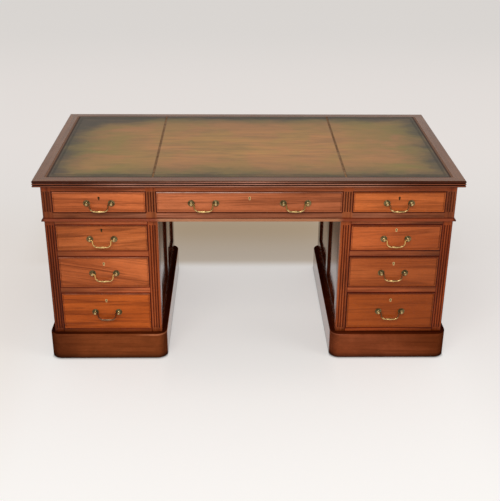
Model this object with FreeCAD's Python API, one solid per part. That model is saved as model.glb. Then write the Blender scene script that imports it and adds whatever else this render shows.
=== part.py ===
import FreeCAD, Part
import math
import os

V = FreeCAD.Vector

# Overall size of the desk
TOP_WIDTH = 1600.0
TOP_DEPTH = 860.0
DESK_HEIGHT = 765.0

# Writing top: mitred border boards with a reeded edge, ground board and three leather panels
TOP_THICKNESS = 26.0
BORDER_WIDTH = 40.0
REED_COUNT = 3
REED_DEPTH = 3.8
LEATHER_THICKNESS = 1.5
CENTRE_LEATHER_WIDTH = 716.0
LEATHER_JOINT = 4.0

# Frieze under the top
SIDE_OVERHANG = 25.0
FRONT_OVERHANG = 24.0
FRIEZE_HEIGHT = 143.0
FRIEZE_TOP_RAIL = 24.0
FRIEZE_DRAWER_HEIGHT = 84.5
END_POST_WIDTH = 39.0
INNER_POST_WIDTH = 39.0
SIDE_OPENING_WIDTH = 348.0
CENTRE_HANDLE_SHARE = 0.494
BEAD_PROJECTION = 6.5
BEAD_FILLET = 3.0

# Pedestals
PEDESTAL_WIDTH = 425.5
PEDESTAL_SETBACK = 2.5
OUTER_STILE_WIDTH = 38.0
INNER_STILE_WIDTH = 40.0
PEDESTAL_TOP_RAIL = 17.0
MIDDLE_DRAWER_GAIN = 24.5
LOWER_DRAWER_GAIN = 51.5
DRAWER_RAIL = 25.0
BOTTOM_RAIL = 34.0
BOTTOM_RAIL_SIGHT = 14.5

# Fluted posts and stiles, front rails and their tenons
POST_DEPTH = 28.0
RAIL_DEPTH = 60.0
FLUTE_COUNT = 3
FLUTE_RADIUS = 2.7
FLUTE_PITCH = 9.5
FLUTE_STOP = 4.0
TENON_LENGTH = 16.0
TENON_THICKNESS = 10.0
TENON_SHOULDER = 5.0

# Panelled sides and backs
FRAME_THICKNESS = 22.0
SIDE_STILE_SIGHT = 68.0
BACK_STILE_WIDTH = 56.0
MUNTIN_WIDTH = 50.0
FRAME_TOP_RAIL = 52.0
FRAME_BOTTOM_SIGHT = 57.0
PANEL_THICKNESS = 9.0
PANEL_RECESS = 8.0
PANEL_GROOVE = 9.0
PANEL_PLAY = 1.0

# Plinth and glides
GLIDE_HEIGHT = 3.0
GLIDE_RADIUS = 17.0
GLIDE_FOOT_RADIUS = 9.0
GLIDE_FLANGE = 1.2
GLIDE_INSET_X = 33.0
GLIDE_INSET_Y = 12.0
PLINTH_FACE_HEIGHT = 105.0
PLINTH_PROJECTION = 20.0
PLINTH_ROUND = 6.0
PLINTH_CORNER = 42.0

# Inner boards, runners and dowels
BOARD_THICKNESS = 18.0
BOTTOM_BOARD_THICKNESS = 14.0
PARTITION_THICKNESS = 20.0
RUNNER_WIDTH = 31.0
RUNNER_HEIGHT = 20.0
GUIDE_HEIGHT = 16.0
STOP_WIDTH = 40.0
STOP_DEPTH = 18.0
STOP_HEIGHT = 5.0
STOP_INSET = 60.0
DOWEL_RADIUS = 5.0
DOWEL_DEPTH = 14.0
DOWEL_INSET = 50.0
DOWEL_CLEARANCE = 0.1

# Drawers
DRAWER_GAP = 1.0
DRAWER_DEPTH = 640.0
FRONT_THICKNESS = 20.0
FRONT_LAP = 6.0
COCK_BEAD_WIDTH = 5.0
COCK_BEAD_PROUD = 2.0
COCK_BEAD_ROUND = 1.7
QUIRK_WIDTH = 1.2
QUIRK_DEPTH = 1.2
LINING_THICKNESS = 11.0
SIDE_TOP_GAP = 4.0
BOTTOM_THICKNESS = 6.0
BOTTOM_RISE = 9.0
BOTTOM_GROOVE = 5.0
BACK_TOP_GAP = 8.0
TAIL_PITCH = 30.0
TAIL_GAP = 9.0
TAIL_SLOPE = 7.0

# Swan-neck handles
HANDLE_CENTRES = 92.0
HANDLE_BELOW_CENTRE = 5.0
PIVOT_STANDOFF = 13.0
ROSE_RADIUS = 13.0
ROSE_THICKNESS = 3.6
BALL_RADIUS = 5.6
COLLAR_RADIUS = 4.8
NECK_RADIUS = 3.1
SHANK_RADIUS = 2.6
SHANK_CLEARANCE = 0.3
NUT_RADIUS = 5.5
NUT_THICKNESS = 4.0
NUT_CLEARANCE = 0.05
PIN_RADIUS = 2.0
PIN_CLEARANCE = 0.05
PIN_REACH = 1.5
BAIL_RADIUS = 2.8
BAIL_END_GAP = 0.5
BAIL_DROP = 29.0
BAIL_LEG_X = 34.5
BAIL_NECK_BEND = 5.0
BAIL_CORNER = 19.0
SWELL_RADIUS = 4.0
SWELL_REACH = 15.0
RING_RADIUS = 4.6
RING_WIDTH = 4.0

# Locks and keyholes
KEY_DROP_FRIEZE = 25.0
KEY_DROP_UPPER = 20.0
KEY_DROP_MIDDLE = 29.0
KEY_DROP_LOWER = 32.0
KEYHOLE_RADIUS = 2.5
KEYHOLE_SLOT = 2.4
KEYHOLE_LENGTH = 8.0
ESCUTCHEON_WALL = 1.7
ESCUTCHEON_DEPTH = 3.0
LOCK_WIDTH = 58.0
LOCK_THICKNESS = 10.0
LOCK_BELOW_KEY = 15.0
KEY_PIN_RADIUS = 1.3
LOCK_FLOOR = 2.0

# Levels and faces that follow from the sizes above
top_underside = DESK_HEIGHT - TOP_THICKNESS
frieze_bottom = top_underside - FRIEZE_HEIGHT
frieze_drawer_top = top_underside - FRIEZE_TOP_RAIL
frieze_drawer_bottom = frieze_drawer_top - FRIEZE_DRAWER_HEIGHT
frieze_half_width = TOP_WIDTH / 2 - SIDE_OVERHANG
frieze_half_depth = TOP_DEPTH / 2 - FRONT_OVERHANG
frieze_front = -frieze_half_depth
side_opening_outer = frieze_half_width - END_POST_WIDTH
side_opening_inner = side_opening_outer - SIDE_OPENING_WIDTH
centre_opening_half = side_opening_inner - INNER_POST_WIDTH
centre_handle = centre_opening_half * CENTRE_HANDLE_SHARE
partition_centre = (side_opening_inner + centre_opening_half) / 2
frieze_inner = frieze_half_width - FRAME_THICKNESS
frieze_back_inner = frieze_half_depth - FRAME_THICKNESS

pedestal_outer = frieze_half_width - PEDESTAL_SETBACK
pedestal_inner = pedestal_outer - PEDESTAL_WIDTH
pedestal_half_depth = frieze_half_depth - PEDESTAL_SETBACK
pedestal_front = -pedestal_half_depth
opening_outer = pedestal_outer - OUTER_STILE_WIDTH
opening_inner = pedestal_inner + INNER_STILE_WIDTH
plinth_top = GLIDE_HEIGHT + PLINTH_FACE_HEIGHT + PLINTH_ROUND
lower_bottom = plinth_top + BOTTOM_RAIL_SIGHT
upper_top = frieze_bottom - PEDESTAL_TOP_RAIL
drawer_room = upper_top - lower_bottom - 2 * DRAWER_RAIL
upper_height = (drawer_room - MIDDLE_DRAWER_GAIN - LOWER_DRAWER_GAIN) / 3
upper_bottom = upper_top - upper_height
middle_top = upper_bottom - DRAWER_RAIL
middle_bottom = middle_top - upper_height - MIDDLE_DRAWER_GAIN
lower_top = middle_bottom - DRAWER_RAIL


def box(x0, x1, y0, y1, z0, z1):
    return Part.makeBox(x1 - x0, y1 - y0, z1 - z0, V(x0, y0, z0))


def rod(radius, start, end):
    return Part.makeCylinder(radius, (end - start).Length, start, end - start)


def polygon(points):
    return Part.Face(Part.makePolygon(points + [points[0]]))


def turned(points, base, axis):
    # points are distances along the axis and radii; the outline closes on the axis itself
    side = V(0, 0, 1)
    outline = [base + axis * along + side * radius for along, radius in points]
    return polygon(outline).revolve(base, axis, 360)


def mirrored(shapes):
    return [shape.mirror(V(0, 0, 0), V(1, 0, 0)) for shape in shapes]


def cut_all(shape, tools):
    for tool in tools:
        shape = shape.cut(tool)
    return shape


def export(node, shapes):
    solids = []
    for shape in shapes:
        solids.extend(shape.Solids)
    Part.makeCompound(solids).exportStep("parts/" + node + ".step")


def mitred_frame(width, depth, board, outline):
    # four boards round a rectangle; outline gives the section for a board along the front
    boards = []
    runs = ((width, depth, 0), (depth, width, 90), (width, depth, 180), (depth, width, 270))
    for length, across, turn in runs:
        half = length / 2
        edge = -across / 2
        bar = outline(-half, edge).extrude(V(length, 0, 0))
        low = bar.BoundBox.ZMin
        high = bar.BoundBox.ZMax
        corners = [V(-half, edge, low), V(half, edge, low), V(half - board, edge + board, low)]
        corners.append(V(-half + board, edge + board, low))
        piece = bar.common(polygon(corners).extrude(V(0, 0, high - low)))
        piece.rotate(V(0, 0, 0), V(0, 0, 1), turn)
        boards.append(piece)
    return boards


def reeded_outline(x, edge):
    reed = TOP_THICKNESS / REED_COUNT
    edges = []
    point = V(x, edge + REED_DEPTH, top_underside)
    start = point
    for step in range(REED_COUNT):
        middle = V(x, edge, top_underside + (step + 0.5) * reed)
        end = V(x, edge + REED_DEPTH, top_underside + (step + 1) * reed)
        edges.append(Part.Arc(point, middle, end).toShape())
        point = end
    inner_high = V(x, edge + BORDER_WIDTH, DESK_HEIGHT)
    inner_low = V(x, edge + BORDER_WIDTH, top_underside)
    edges.append(Part.makeLine(point, inner_high))
    edges.append(Part.makeLine(inner_high, inner_low))
    edges.append(Part.makeLine(inner_low, start))
    return Part.Face(Part.Wire(edges))


def rounded_outline(x, edge, low, rise, radius, board):
    # flat face with a quarter round at the top, flat underneath
    turn = radius * (1 - math.sqrt(0.5))
    base_inner = V(x, edge + board, low)
    base_outer = V(x, edge, low)
    face_top = V(x, edge, low + rise)
    round_middle = V(x, edge + turn, low + rise + radius - turn)
    round_end = V(x, edge + radius, low + rise + radius)
    edges = [Part.makeLine(base_inner, base_outer), Part.makeLine(base_outer, face_top)]
    edges.append(Part.Arc(face_top, round_middle, round_end).toShape())
    last = round_end
    if board > radius:
        last = V(x, edge + board, low + rise + radius)
        edges.append(Part.makeLine(round_end, last))
    edges.append(Part.makeLine(last, base_inner))
    return Part.Face(Part.Wire(edges))


def flutes(centre, face, low, high):
    cutters = []
    for step in range(FLUTE_COUNT):
        x = centre + (step - (FLUTE_COUNT - 1) / 2) * FLUTE_PITCH
        bottom = V(x, face, low + FLUTE_STOP)
        top = V(x, face, high - FLUTE_STOP)
        cutters.append(rod(FLUTE_RADIUS, bottom, top))
        cutters.append(Part.makeSphere(FLUTE_RADIUS, bottom))
        cutters.append(Part.makeSphere(FLUTE_RADIUS, top))
    return cutters


def front_rail(x0, x1, face, low, high):
    rail = box(x0, x1, face, face + RAIL_DEPTH, low, high)
    tenon_front = face + (POST_DEPTH - TENON_THICKNESS) / 2
    tenons = box(x0 - TENON_LENGTH, x1 + TENON_LENGTH, tenon_front, tenon_front + TENON_THICKNESS,
                 low + TENON_SHOULDER, high - TENON_SHOULDER)
    return rail.fuse(tenons).removeSplitter()


def dowels(clearance):
    # they stand where a pedestal rail lies under a frieze rail, and at the backs
    near = max(opening_inner, side_opening_inner) + DOWEL_INSET
    far = min(opening_outer, side_opening_outer) - DOWEL_INSET
    front_y = pedestal_front + RAIL_DEPTH / 2
    back_y = (pedestal_half_depth + frieze_back_inner) / 2
    reach = V(0, 0, DOWEL_DEPTH + clearance)
    pins = []
    for y in (front_y, back_y):
        for x in (-far, -near, near, far):
            place = V(x, y, frieze_bottom)
            pins.append(rod(DOWEL_RADIUS + clearance, place - reach, place + reach))
    return pins


def framed_panels(length, low, high, stile_a, stile_b, bottom_rail, muntins):
    # outer face lies at y = 0 and looks along -y; x runs along the frame from 0 to length
    inside_low = low + bottom_rail
    inside_high = high - FRAME_TOP_RAIL
    tongue_front = PANEL_RECESS
    tongue_back = PANEL_RECESS + PANEL_THICKNESS
    rails = []
    for z0, z1 in ((low, inside_low), (inside_high, high)):
        body = box(stile_a, length - stile_b, 0, FRAME_THICKNESS, z0, z1)
        tenon = box(stile_a - PANEL_GROOVE, length - stile_b + PANEL_GROOVE, tongue_front, tongue_back,
                    z0 + TENON_SHOULDER, z1 - TENON_SHOULDER)
        rails.append(body.fuse(tenon).removeSplitter())
    bars = []
    for centre in muntins:
        x0 = centre - MUNTIN_WIDTH / 2
        x1 = centre + MUNTIN_WIDTH / 2
        body = box(x0, x1, 0, FRAME_THICKNESS, inside_low, inside_high)
        tenon = box(x0 + TENON_SHOULDER, x1 - TENON_SHOULDER, tongue_front, tongue_back,
                    inside_low - PANEL_GROOVE, inside_high + PANEL_GROOVE)
        bars.append(body.fuse(tenon).removeSplitter())
    sides = [box(0, stile_a, 0, FRAME_THICKNESS, low, high)]
    sides.append(box(length - stile_b, length, 0, FRAME_THICKNESS, low, high))
    lights = [stile_a]
    for centre in muntins:
        lights.extend([centre - MUNTIN_WIDTH / 2, centre + MUNTIN_WIDTH / 2])
    lights.append(length - stile_b)
    panels = []
    grooves = []
    for index in range(0, len(lights), 2):
        reach = PANEL_GROOVE - PANEL_PLAY
        panels.append(box(lights[index] - reach, lights[index + 1] + reach, tongue_front, tongue_back,
                          inside_low - reach, inside_high + reach))
        grooves.append(box(lights[index] - PANEL_GROOVE, lights[index + 1] + PANEL_GROOVE, tongue_front,
                           tongue_back, inside_low - PANEL_GROOVE, inside_high + PANEL_GROOVE))
    rails = [cut_all(rail, bars + grooves) for rail in rails]
    bars = [cut_all(bar, grooves) for bar in bars]
    sides = [cut_all(side, rails + grooves) for side in sides]
    return sides + rails + bars, panels


def placed(shapes, turn, offset):
    for shape in shapes:
        shape.rotate(V(0, 0, 0), V(0, 0, 1), turn)
        shape.translate(offset)
    return shapes


def tail_blocks(x0, x1, base, length, low, high):
    # dovetail tails that widen away from base; a negative length points to the front
    count = max(2, int(round((high - low) / TAIL_PITCH)))
    pitch = (high - low) / count
    blocks = []
    for step in range(count):
        middle = low + (step + 0.5) * pitch
        narrow = (pitch - TAIL_GAP) / 2
        wide = narrow + abs(length) / TAIL_SLOPE
        points = [V(x0, base, middle - narrow), V(x0, base, middle + narrow)]
        points.extend([V(x0, base + length, middle + wide), V(x0, base + length, middle - wide)])
        blocks.append(polygon(points).extrude(V(x1 - x0, 0, 0)))
    return blocks


def keyhole(x, key_z, y0, y1, grow):
    round_part = rod(KEYHOLE_RADIUS + grow, V(x, y0, key_z), V(x, y1, key_z))
    half = KEYHOLE_SLOT / 2 + grow
    slot = box(x - half, x + half, y0, y1, key_z - KEYHOLE_LENGTH - grow, key_z)
    return round_part.fuse(slot).removeSplitter()


def drawer_front(x0, x1, low, high, face):
    board = box(x0, x1, face - COCK_BEAD_PROUD, face + FRONT_THICKNESS, low, high)
    b = COCK_BEAD_WIDTH
    board = board.cut(box(x0 + b, x1 - b, face - COCK_BEAD_PROUD, face, low + b, high - b))
    crest = [edge for edge in board.Edges if abs(edge.BoundBox.YMax - (face - COCK_BEAD_PROUD)) < 1e-6]
    board = board.makeFillet(COCK_BEAD_ROUND, crest)
    q = b + QUIRK_WIDTH
    ring = box(x0 + b, x1 - b, face, face + QUIRK_DEPTH, low + b, high - b)
    ring = ring.cut(box(x0 + q, x1 - q, face, face + QUIRK_DEPTH, low + q, high - q))
    return board.cut(ring)


def drawer_lining(x0, x1, low, high, face):
    # two sides, back and bottom; the sides carry the tails at both ends
    front_base = face + FRONT_THICKNESS
    rear = face + DRAWER_DEPTH
    back_base = rear - LINING_THICKNESS
    top = high - SIDE_TOP_GAP
    bottom_low = low + BOTTOM_RISE
    bottom_high = bottom_low + BOTTOM_THICKNESS
    inner0 = x0 + LINING_THICKNESS
    inner1 = x1 - LINING_THICKNESS
    bottom = box(inner0 - BOTTOM_GROOVE, inner1 + BOTTOM_GROOVE, front_base - BOTTOM_GROOVE, rear,
                 bottom_low, bottom_high)
    back = box(x0, x1, back_base, rear, bottom_high, top - BACK_TOP_GAP)
    sides = []
    for a, b in ((x0, inner0), (inner1, x1)):
        side = box(a, b, front_base, back_base, low, top)
        for tail in tail_blocks(a, b, front_base, FRONT_LAP - FRONT_THICKNESS, low + DRAWER_GAP, top):
            side = side.fuse(tail)
        for tail in tail_blocks(a, b, back_base, LINING_THICKNESS, bottom_high, top - BACK_TOP_GAP):
            side = side.fuse(tail)
        side = side.removeSplitter().cut(bottom)
        back = back.cut(side)
        sides.append(side)
    return sides, back, bottom


def lock_case(x, face, front_top, key_z):
    back = face + FRONT_THICKNESS
    low = key_z - LOCK_BELOW_KEY
    case = box(x - LOCK_WIDTH / 2, x + LOCK_WIDTH / 2, back - LOCK_THICKNESS, back, low, front_top)
    case = case.cut(keyhole(x, key_z, back - LOCK_THICKNESS, back - LOCK_FLOOR, 0))
    pin = rod(KEY_PIN_RADIUS, V(x, back - LOCK_THICKNESS, key_z), V(x, back, key_z))
    return case.fuse(pin).removeSplitter()


def rose(x, face, z):
    hole = SHANK_RADIUS + SHANK_CLEARANCE
    rim = ROSE_THICKNESS / 3
    points = [(0, hole), (0, ROSE_RADIUS), (rim * 0.8, ROSE_RADIUS), (rim * 1.3, ROSE_RADIUS - rim)]
    points.extend([(rim * 1.3, ROSE_RADIUS - 2.5 * rim), (rim * 2.4, ROSE_RADIUS - 4.5 * rim)])
    points.extend([(ROSE_THICKNESS, COLLAR_RADIUS), (ROSE_THICKNESS, hole)])
    return turned(points, V(x, face, z), V(0, -1, 0))


def handle_post(x, face, z, inward):
    # inward is +1 or -1 along x, towards the middle of the handle
    shank_end = -FRONT_THICKNESS - NUT_THICKNESS
    collar_end = ROSE_THICKNESS + rose_collar
    points = [(shank_end, 0), (shank_end, SHANK_RADIUS), (ROSE_THICKNESS, SHANK_RADIUS)]
    points.extend([(ROSE_THICKNESS, COLLAR_RADIUS), (collar_end, COLLAR_RADIUS)])
    points.extend([(collar_end + rose_collar, NECK_RADIUS), (PIVOT_STANDOFF, NECK_RADIUS)])
    points.append((PIVOT_STANDOFF, 0))
    stem = turned(points, V(x, face, z), V(0, -1, 0))
    pivot = V(x, face - PIVOT_STANDOFF, z)
    post = stem.fuse(Part.makeSphere(BALL_RADIUS, pivot)).removeSplitter()
    bore_end = pivot - V(inward * (PIN_REACH + BAIL_END_GAP), 0, 0)
    bore_mouth = pivot + V(inward * (BALL_RADIUS + BAIL_END_GAP), 0, 0)
    return post.cut(rod(PIN_RADIUS + PIN_CLEARANCE, bore_end, bore_mouth))


def nut(x, face, z):
    back = face + FRONT_THICKNESS
    hole = SHANK_RADIUS + NUT_CLEARANCE
    points = [(0, hole), (0, NUT_RADIUS), (NUT_THICKNESS, NUT_RADIUS), (NUT_THICKNESS, hole)]
    return turned(points, V(x, back, z), V(0, 1, 0))


def bail(x, face, z):
    half = HANDLE_CENTRES / 2
    start = half - BALL_RADIUS - BAIL_END_GAP
    bend_x = BAIL_LEG_X + BAIL_NECK_BEND
    corner_x = BAIL_LEG_X - BAIL_CORNER
    corner_z = BAIL_CORNER - BAIL_DROP
    bend_mid = BAIL_NECK_BEND * math.sqrt(0.5)
    corner_mid = BAIL_CORNER * math.sqrt(0.5)

    def leg(s):
        a = V(s * start, 0, 0)
        b = V(s * bend_x, 0, 0)
        m = V(s * (bend_x - bend_mid), 0, bend_mid - BAIL_NECK_BEND)
        c = V(s * BAIL_LEG_X, 0, -BAIL_NECK_BEND)
        d = V(s * BAIL_LEG_X, 0, corner_z)
        n = V(s * (corner_x + corner_mid), 0, corner_z - corner_mid)
        e = V(s * corner_x, 0, -BAIL_DROP)
        return a, b, m, c, d, n, e

    a, b, m, c, d, n, e = leg(1)
    edges = [Part.makeLine(a, b), Part.Arc(b, m, c).toShape()]
    edges.extend([Part.makeLine(c, d), Part.Arc(d, n, e).toShape()])
    a2, b2, m2, c2, d2, n2, e2 = leg(-1)
    edges.append(Part.makeLine(e, e2))
    edges.extend([Part.Arc(e2, n2, d2).toShape(), Part.makeLine(d2, c2)])
    edges.extend([Part.Arc(c2, m2, b2).toShape(), Part.makeLine(b2, a2)])
    section = Part.Wire(Part.makeCircle(BAIL_RADIUS, a, V(1, 0, 0)))
    grip = Part.Wire(edges).makePipeShell([section], True, False)
    for s in (1, -1):
        tip = V(s * (half + PIN_REACH), 0, 0)
        root = V(s * bend_x, 0, 0)
        grip = grip.fuse(rod(PIN_RADIUS, tip, root))
    ring = RING_WIDTH / 2
    step = RING_RADIUS - SWELL_RADIUS
    outline = [(-SWELL_REACH, 0), (-SWELL_REACH, BAIL_RADIUS - step / 4), (-ring - 3 * step, SWELL_RADIUS)]
    outline.extend([(-ring - step, SWELL_RADIUS), (-ring, RING_RADIUS), (ring, RING_RADIUS)])
    outline.extend([(ring + step, SWELL_RADIUS), (ring + 3 * step, SWELL_RADIUS)])
    outline.extend([(SWELL_REACH, BAIL_RADIUS - step / 4), (SWELL_REACH, 0)])
    grip = grip.fuse(turned(outline, V(0, 0, -BAIL_DROP), V(1, 0, 0))).removeSplitter()
    grip.translate(V(x, face - PIVOT_STANDOFF, z))
    return grip


def make_drawer(node, x0, x1, low, high, face, key_drop, handles):
    a = x0 + DRAWER_GAP
    b = x1 - DRAWER_GAP
    middle = (a + b) / 2
    front_top = high - DRAWER_GAP
    back = face + FRONT_THICKNESS
    key_z = high - key_drop
    front = drawer_front(a, b, low + DRAWER_GAP, front_top, face)
    sides, rear, bottom = drawer_lining(a, b, low, high, face)
    lock = lock_case(middle, face, front_top, key_z)
    recess = box(middle - LOCK_WIDTH / 2, middle + LOCK_WIDTH / 2, back - LOCK_THICKNESS, back,
                 key_z - LOCK_BELOW_KEY, front_top)
    inlay = keyhole(middle, key_z, face, face + ESCUTCHEON_DEPTH, ESCUTCHEON_WALL)
    passage = keyhole(middle, key_z, face - COCK_BEAD_PROUD, back - LOCK_THICKNESS, 0)
    front = cut_all(front, sides + [bottom, recess, inlay, passage])
    brass = [inlay.cut(passage), lock]
    z = (low + high) / 2 - HANDLE_BELOW_CENTRE
    for suffix, x in handles:
        for inward in (1, -1):
            place = x - inward * HANDLE_CENTRES / 2
            hole = rod(SHANK_RADIUS + SHANK_CLEARANCE, V(place, face - COCK_BEAD_PROUD, z), V(place, back, z))
            front = front.cut(hole)
            brass.extend([rose(place, face, z), handle_post(place, face, z, inward), nut(place, face, z)])
        export(node + "_bail" + suffix, [bail(x, face, z)])
    export(node + "_front", [front])
    export(node + "_box", sides + [rear, bottom])
    export(node + "_brass", brass)


def drawer_support(x_wall, direction, opening_edge, y0, y1, level):
    # runner fixed to a wall with a guide on it; direction points from the wall into the opening
    runner_edge = x_wall + direction * RUNNER_WIDTH
    runner_low = level - RUNNER_HEIGHT
    guide_high = level + GUIDE_HEIGHT
    pieces = [box(min(x_wall, runner_edge), max(x_wall, runner_edge), y0, y1, runner_low, level)]
    pieces.append(box(min(x_wall, opening_edge), max(x_wall, opening_edge), y0, y1, level, guide_high))
    return pieces


def drawer_stops(x0, x1, face, level):
    back = face + FRONT_THICKNESS
    stops = []
    for x in (x0 + STOP_INSET, x1 - STOP_INSET - STOP_WIDTH):
        stops.append(box(x, x + STOP_WIDTH, back, back + STOP_DEPTH, level, level + STOP_HEIGHT))
    return stops


def make_top():
    export("top_border", mitred_frame(TOP_WIDTH, TOP_DEPTH, BORDER_WIDTH, reeded_outline))
    half_w = TOP_WIDTH / 2 - BORDER_WIDTH
    half_d = TOP_DEPTH / 2 - BORDER_WIDTH
    ground_top = DESK_HEIGHT - LEATHER_THICKNESS
    export("top_ground", [box(-half_w, half_w, -half_d, half_d, top_underside, ground_top)])
    centre = CENTRE_LEATHER_WIDTH / 2
    wing = box(centre + LEATHER_JOINT, half_w, -half_d, half_d, ground_top, DESK_HEIGHT)
    skin = box(-centre, centre, -half_d, half_d, ground_top, DESK_HEIGHT)
    export("leather_panels", mirrored([wing]) + [skin, wing])


def bead_outline(x, edge):
    return rounded_outline(x, edge, frieze_bottom, BEAD_FILLET, BEAD_PROJECTION, BEAD_PROJECTION)


def make_frieze():
    holes = dowels(DOWEL_CLEARANCE)
    openings = [(-side_opening_outer, -side_opening_inner), (-centre_opening_half, centre_opening_half)]
    openings.append((side_opening_inner, side_opening_outer))
    rails = []
    for x0, x1 in openings:
        lower = front_rail(x0, x1, frieze_front, frieze_bottom, frieze_drawer_bottom)
        rails.append(cut_all(lower, holes))
        rails.append(front_rail(x0, x1, frieze_front, frieze_drawer_top, top_underside))
    posts = []
    edges = ((side_opening_outer, frieze_half_width), (centre_opening_half, side_opening_inner))
    for x0, x1 in edges:
        post = box(x0, x1, frieze_front, frieze_front + POST_DEPTH, frieze_bottom, top_underside)
        grooves = flutes((x0 + x1) / 2, frieze_front, frieze_drawer_bottom, frieze_drawer_top)
        posts.append(cut_all(post, rails + grooves))
    export("frieze_posts", posts + mirrored(posts))
    export("frieze_rails", rails)
    back_y = frieze_half_depth
    wall_front = frieze_front + POST_DEPTH
    end = box(frieze_inner, frieze_half_width, wall_front, back_y, frieze_bottom, top_underside)
    back = box(-frieze_inner, frieze_inner, frieze_back_inner, back_y, frieze_bottom, top_underside)
    export("frieze_panels", [end, cut_all(back, holes)] + mirrored([end]))
    part_in = partition_centre - PARTITION_THICKNESS / 2
    part_out = partition_centre + PARTITION_THICKNESS / 2
    rail_back = frieze_front + RAIL_DEPTH
    level = frieze_drawer_bottom
    half = [box(part_in, part_out, wall_front, frieze_back_inner, frieze_bottom, top_underside)]
    walls = ((frieze_inner, -1, side_opening_outer), (part_out, 1, side_opening_inner))
    for wall, direction, edge in walls + ((part_in, -1, centre_opening_half),):
        half.extend(drawer_support(wall, direction, edge, rail_back, frieze_back_inner, level))
        kicker = wall + direction * RUNNER_WIDTH
        half.append(box(min(wall, kicker), max(wall, kicker), rail_back, frieze_back_inner,
                        frieze_drawer_top, top_underside))
    stops = []
    for x0, x1 in openings:
        stops.extend(drawer_stops(x0, x1, frieze_front, level))
    export("frieze_runners", half + mirrored(half) + stops)
    width = 2 * (frieze_half_width + BEAD_PROJECTION)
    depth = 2 * (frieze_half_depth + BEAD_PROJECTION)
    export("frieze_bead", mitred_frame(width, depth, BEAD_PROJECTION, bead_outline))
    names = (("frieze_left", [("", -(side_opening_inner + side_opening_outer) / 2)]),
             ("frieze_centre", [("_left", -centre_handle), ("_right", centre_handle)]),
             ("frieze_right", [("", (side_opening_inner + side_opening_outer) / 2)]))
    for (name, handles), (x0, x1) in zip(names, openings):
        make_drawer(name, x0, x1, level, frieze_drawer_top, frieze_front, KEY_DROP_FRIEZE, handles)


def pedestal_frames():
    # outer side, kneehole side and back of the pedestal on the right
    side_start = pedestal_front + POST_DEPTH
    side_end = pedestal_half_depth - FRAME_THICKNESS
    length = side_end - side_start
    front_stile = SIDE_STILE_SIGHT - POST_DEPTH
    rear_stile = SIDE_STILE_SIGHT - FRAME_THICKNESS
    bottom_rail = plinth_top + FRAME_BOTTOM_SIGHT - GLIDE_HEIGHT
    frames = []
    panels = []
    outer = framed_panels(length, GLIDE_HEIGHT, frieze_bottom, front_stile, rear_stile, bottom_rail,
                          [-side_start])
    inner = framed_panels(length, GLIDE_HEIGHT, frieze_bottom, rear_stile, front_stile, bottom_rail,
                          [side_end])
    back = framed_panels(PEDESTAL_WIDTH, GLIDE_HEIGHT, frieze_bottom, BACK_STILE_WIDTH, BACK_STILE_WIDTH,
                         bottom_rail, [])
    walls = ((outer, 90, V(pedestal_outer, side_start, 0)), (inner, 270, V(pedestal_inner, side_end, 0)))
    for wall, turn, offset in walls + ((back, 180, V(pedestal_outer, pedestal_half_depth, 0)),):
        frames.extend(placed(wall[0], turn, offset))
        panels.extend(placed(wall[1], turn, offset))
    return frames, panels


def plinth_outline(x, edge):
    corners = [V(x, edge + across, z) for across, z in ((0, GLIDE_HEIGHT), (PLINTH_PROJECTION, GLIDE_HEIGHT),
                                                        (PLINTH_PROJECTION, plinth_top), (0, plinth_top))]
    return polygon(corners)


def pedestal_plinth():
    width = PEDESTAL_WIDTH + 2 * PLINTH_PROJECTION
    depth = 2 * (pedestal_half_depth + PLINTH_PROJECTION)
    boards = mitred_frame(width, depth, PLINTH_PROJECTION, plinth_outline)
    block = box(-width / 2, width / 2, -depth / 2, depth / 2, GLIDE_HEIGHT, plinth_top)
    uprights = [edge for edge in block.Edges if edge.BoundBox.ZLength > PLINTH_FACE_HEIGHT]
    block = block.makeFillet(PLINTH_CORNER, uprights)
    rim = [edge for edge in block.Edges if edge.BoundBox.ZMin > plinth_top - 0.01]
    block = block.makeFillet(PLINTH_ROUND, rim)
    boards = [board.common(block) for board in boards]
    return placed(boards, 0, V((pedestal_outer + pedestal_inner) / 2, 0, 0))


def glide(x, y):
    points = [(0, 0), (0, GLIDE_FOOT_RADIUS), (GLIDE_HEIGHT - GLIDE_FLANGE, GLIDE_RADIUS)]
    points.extend([(GLIDE_HEIGHT, GLIDE_RADIUS), (GLIDE_HEIGHT, 0)])
    outline = [V(x + radius, y, along) for along, radius in points]
    return polygon(outline).revolve(V(x, y, 0), V(0, 0, 1), 360)


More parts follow.
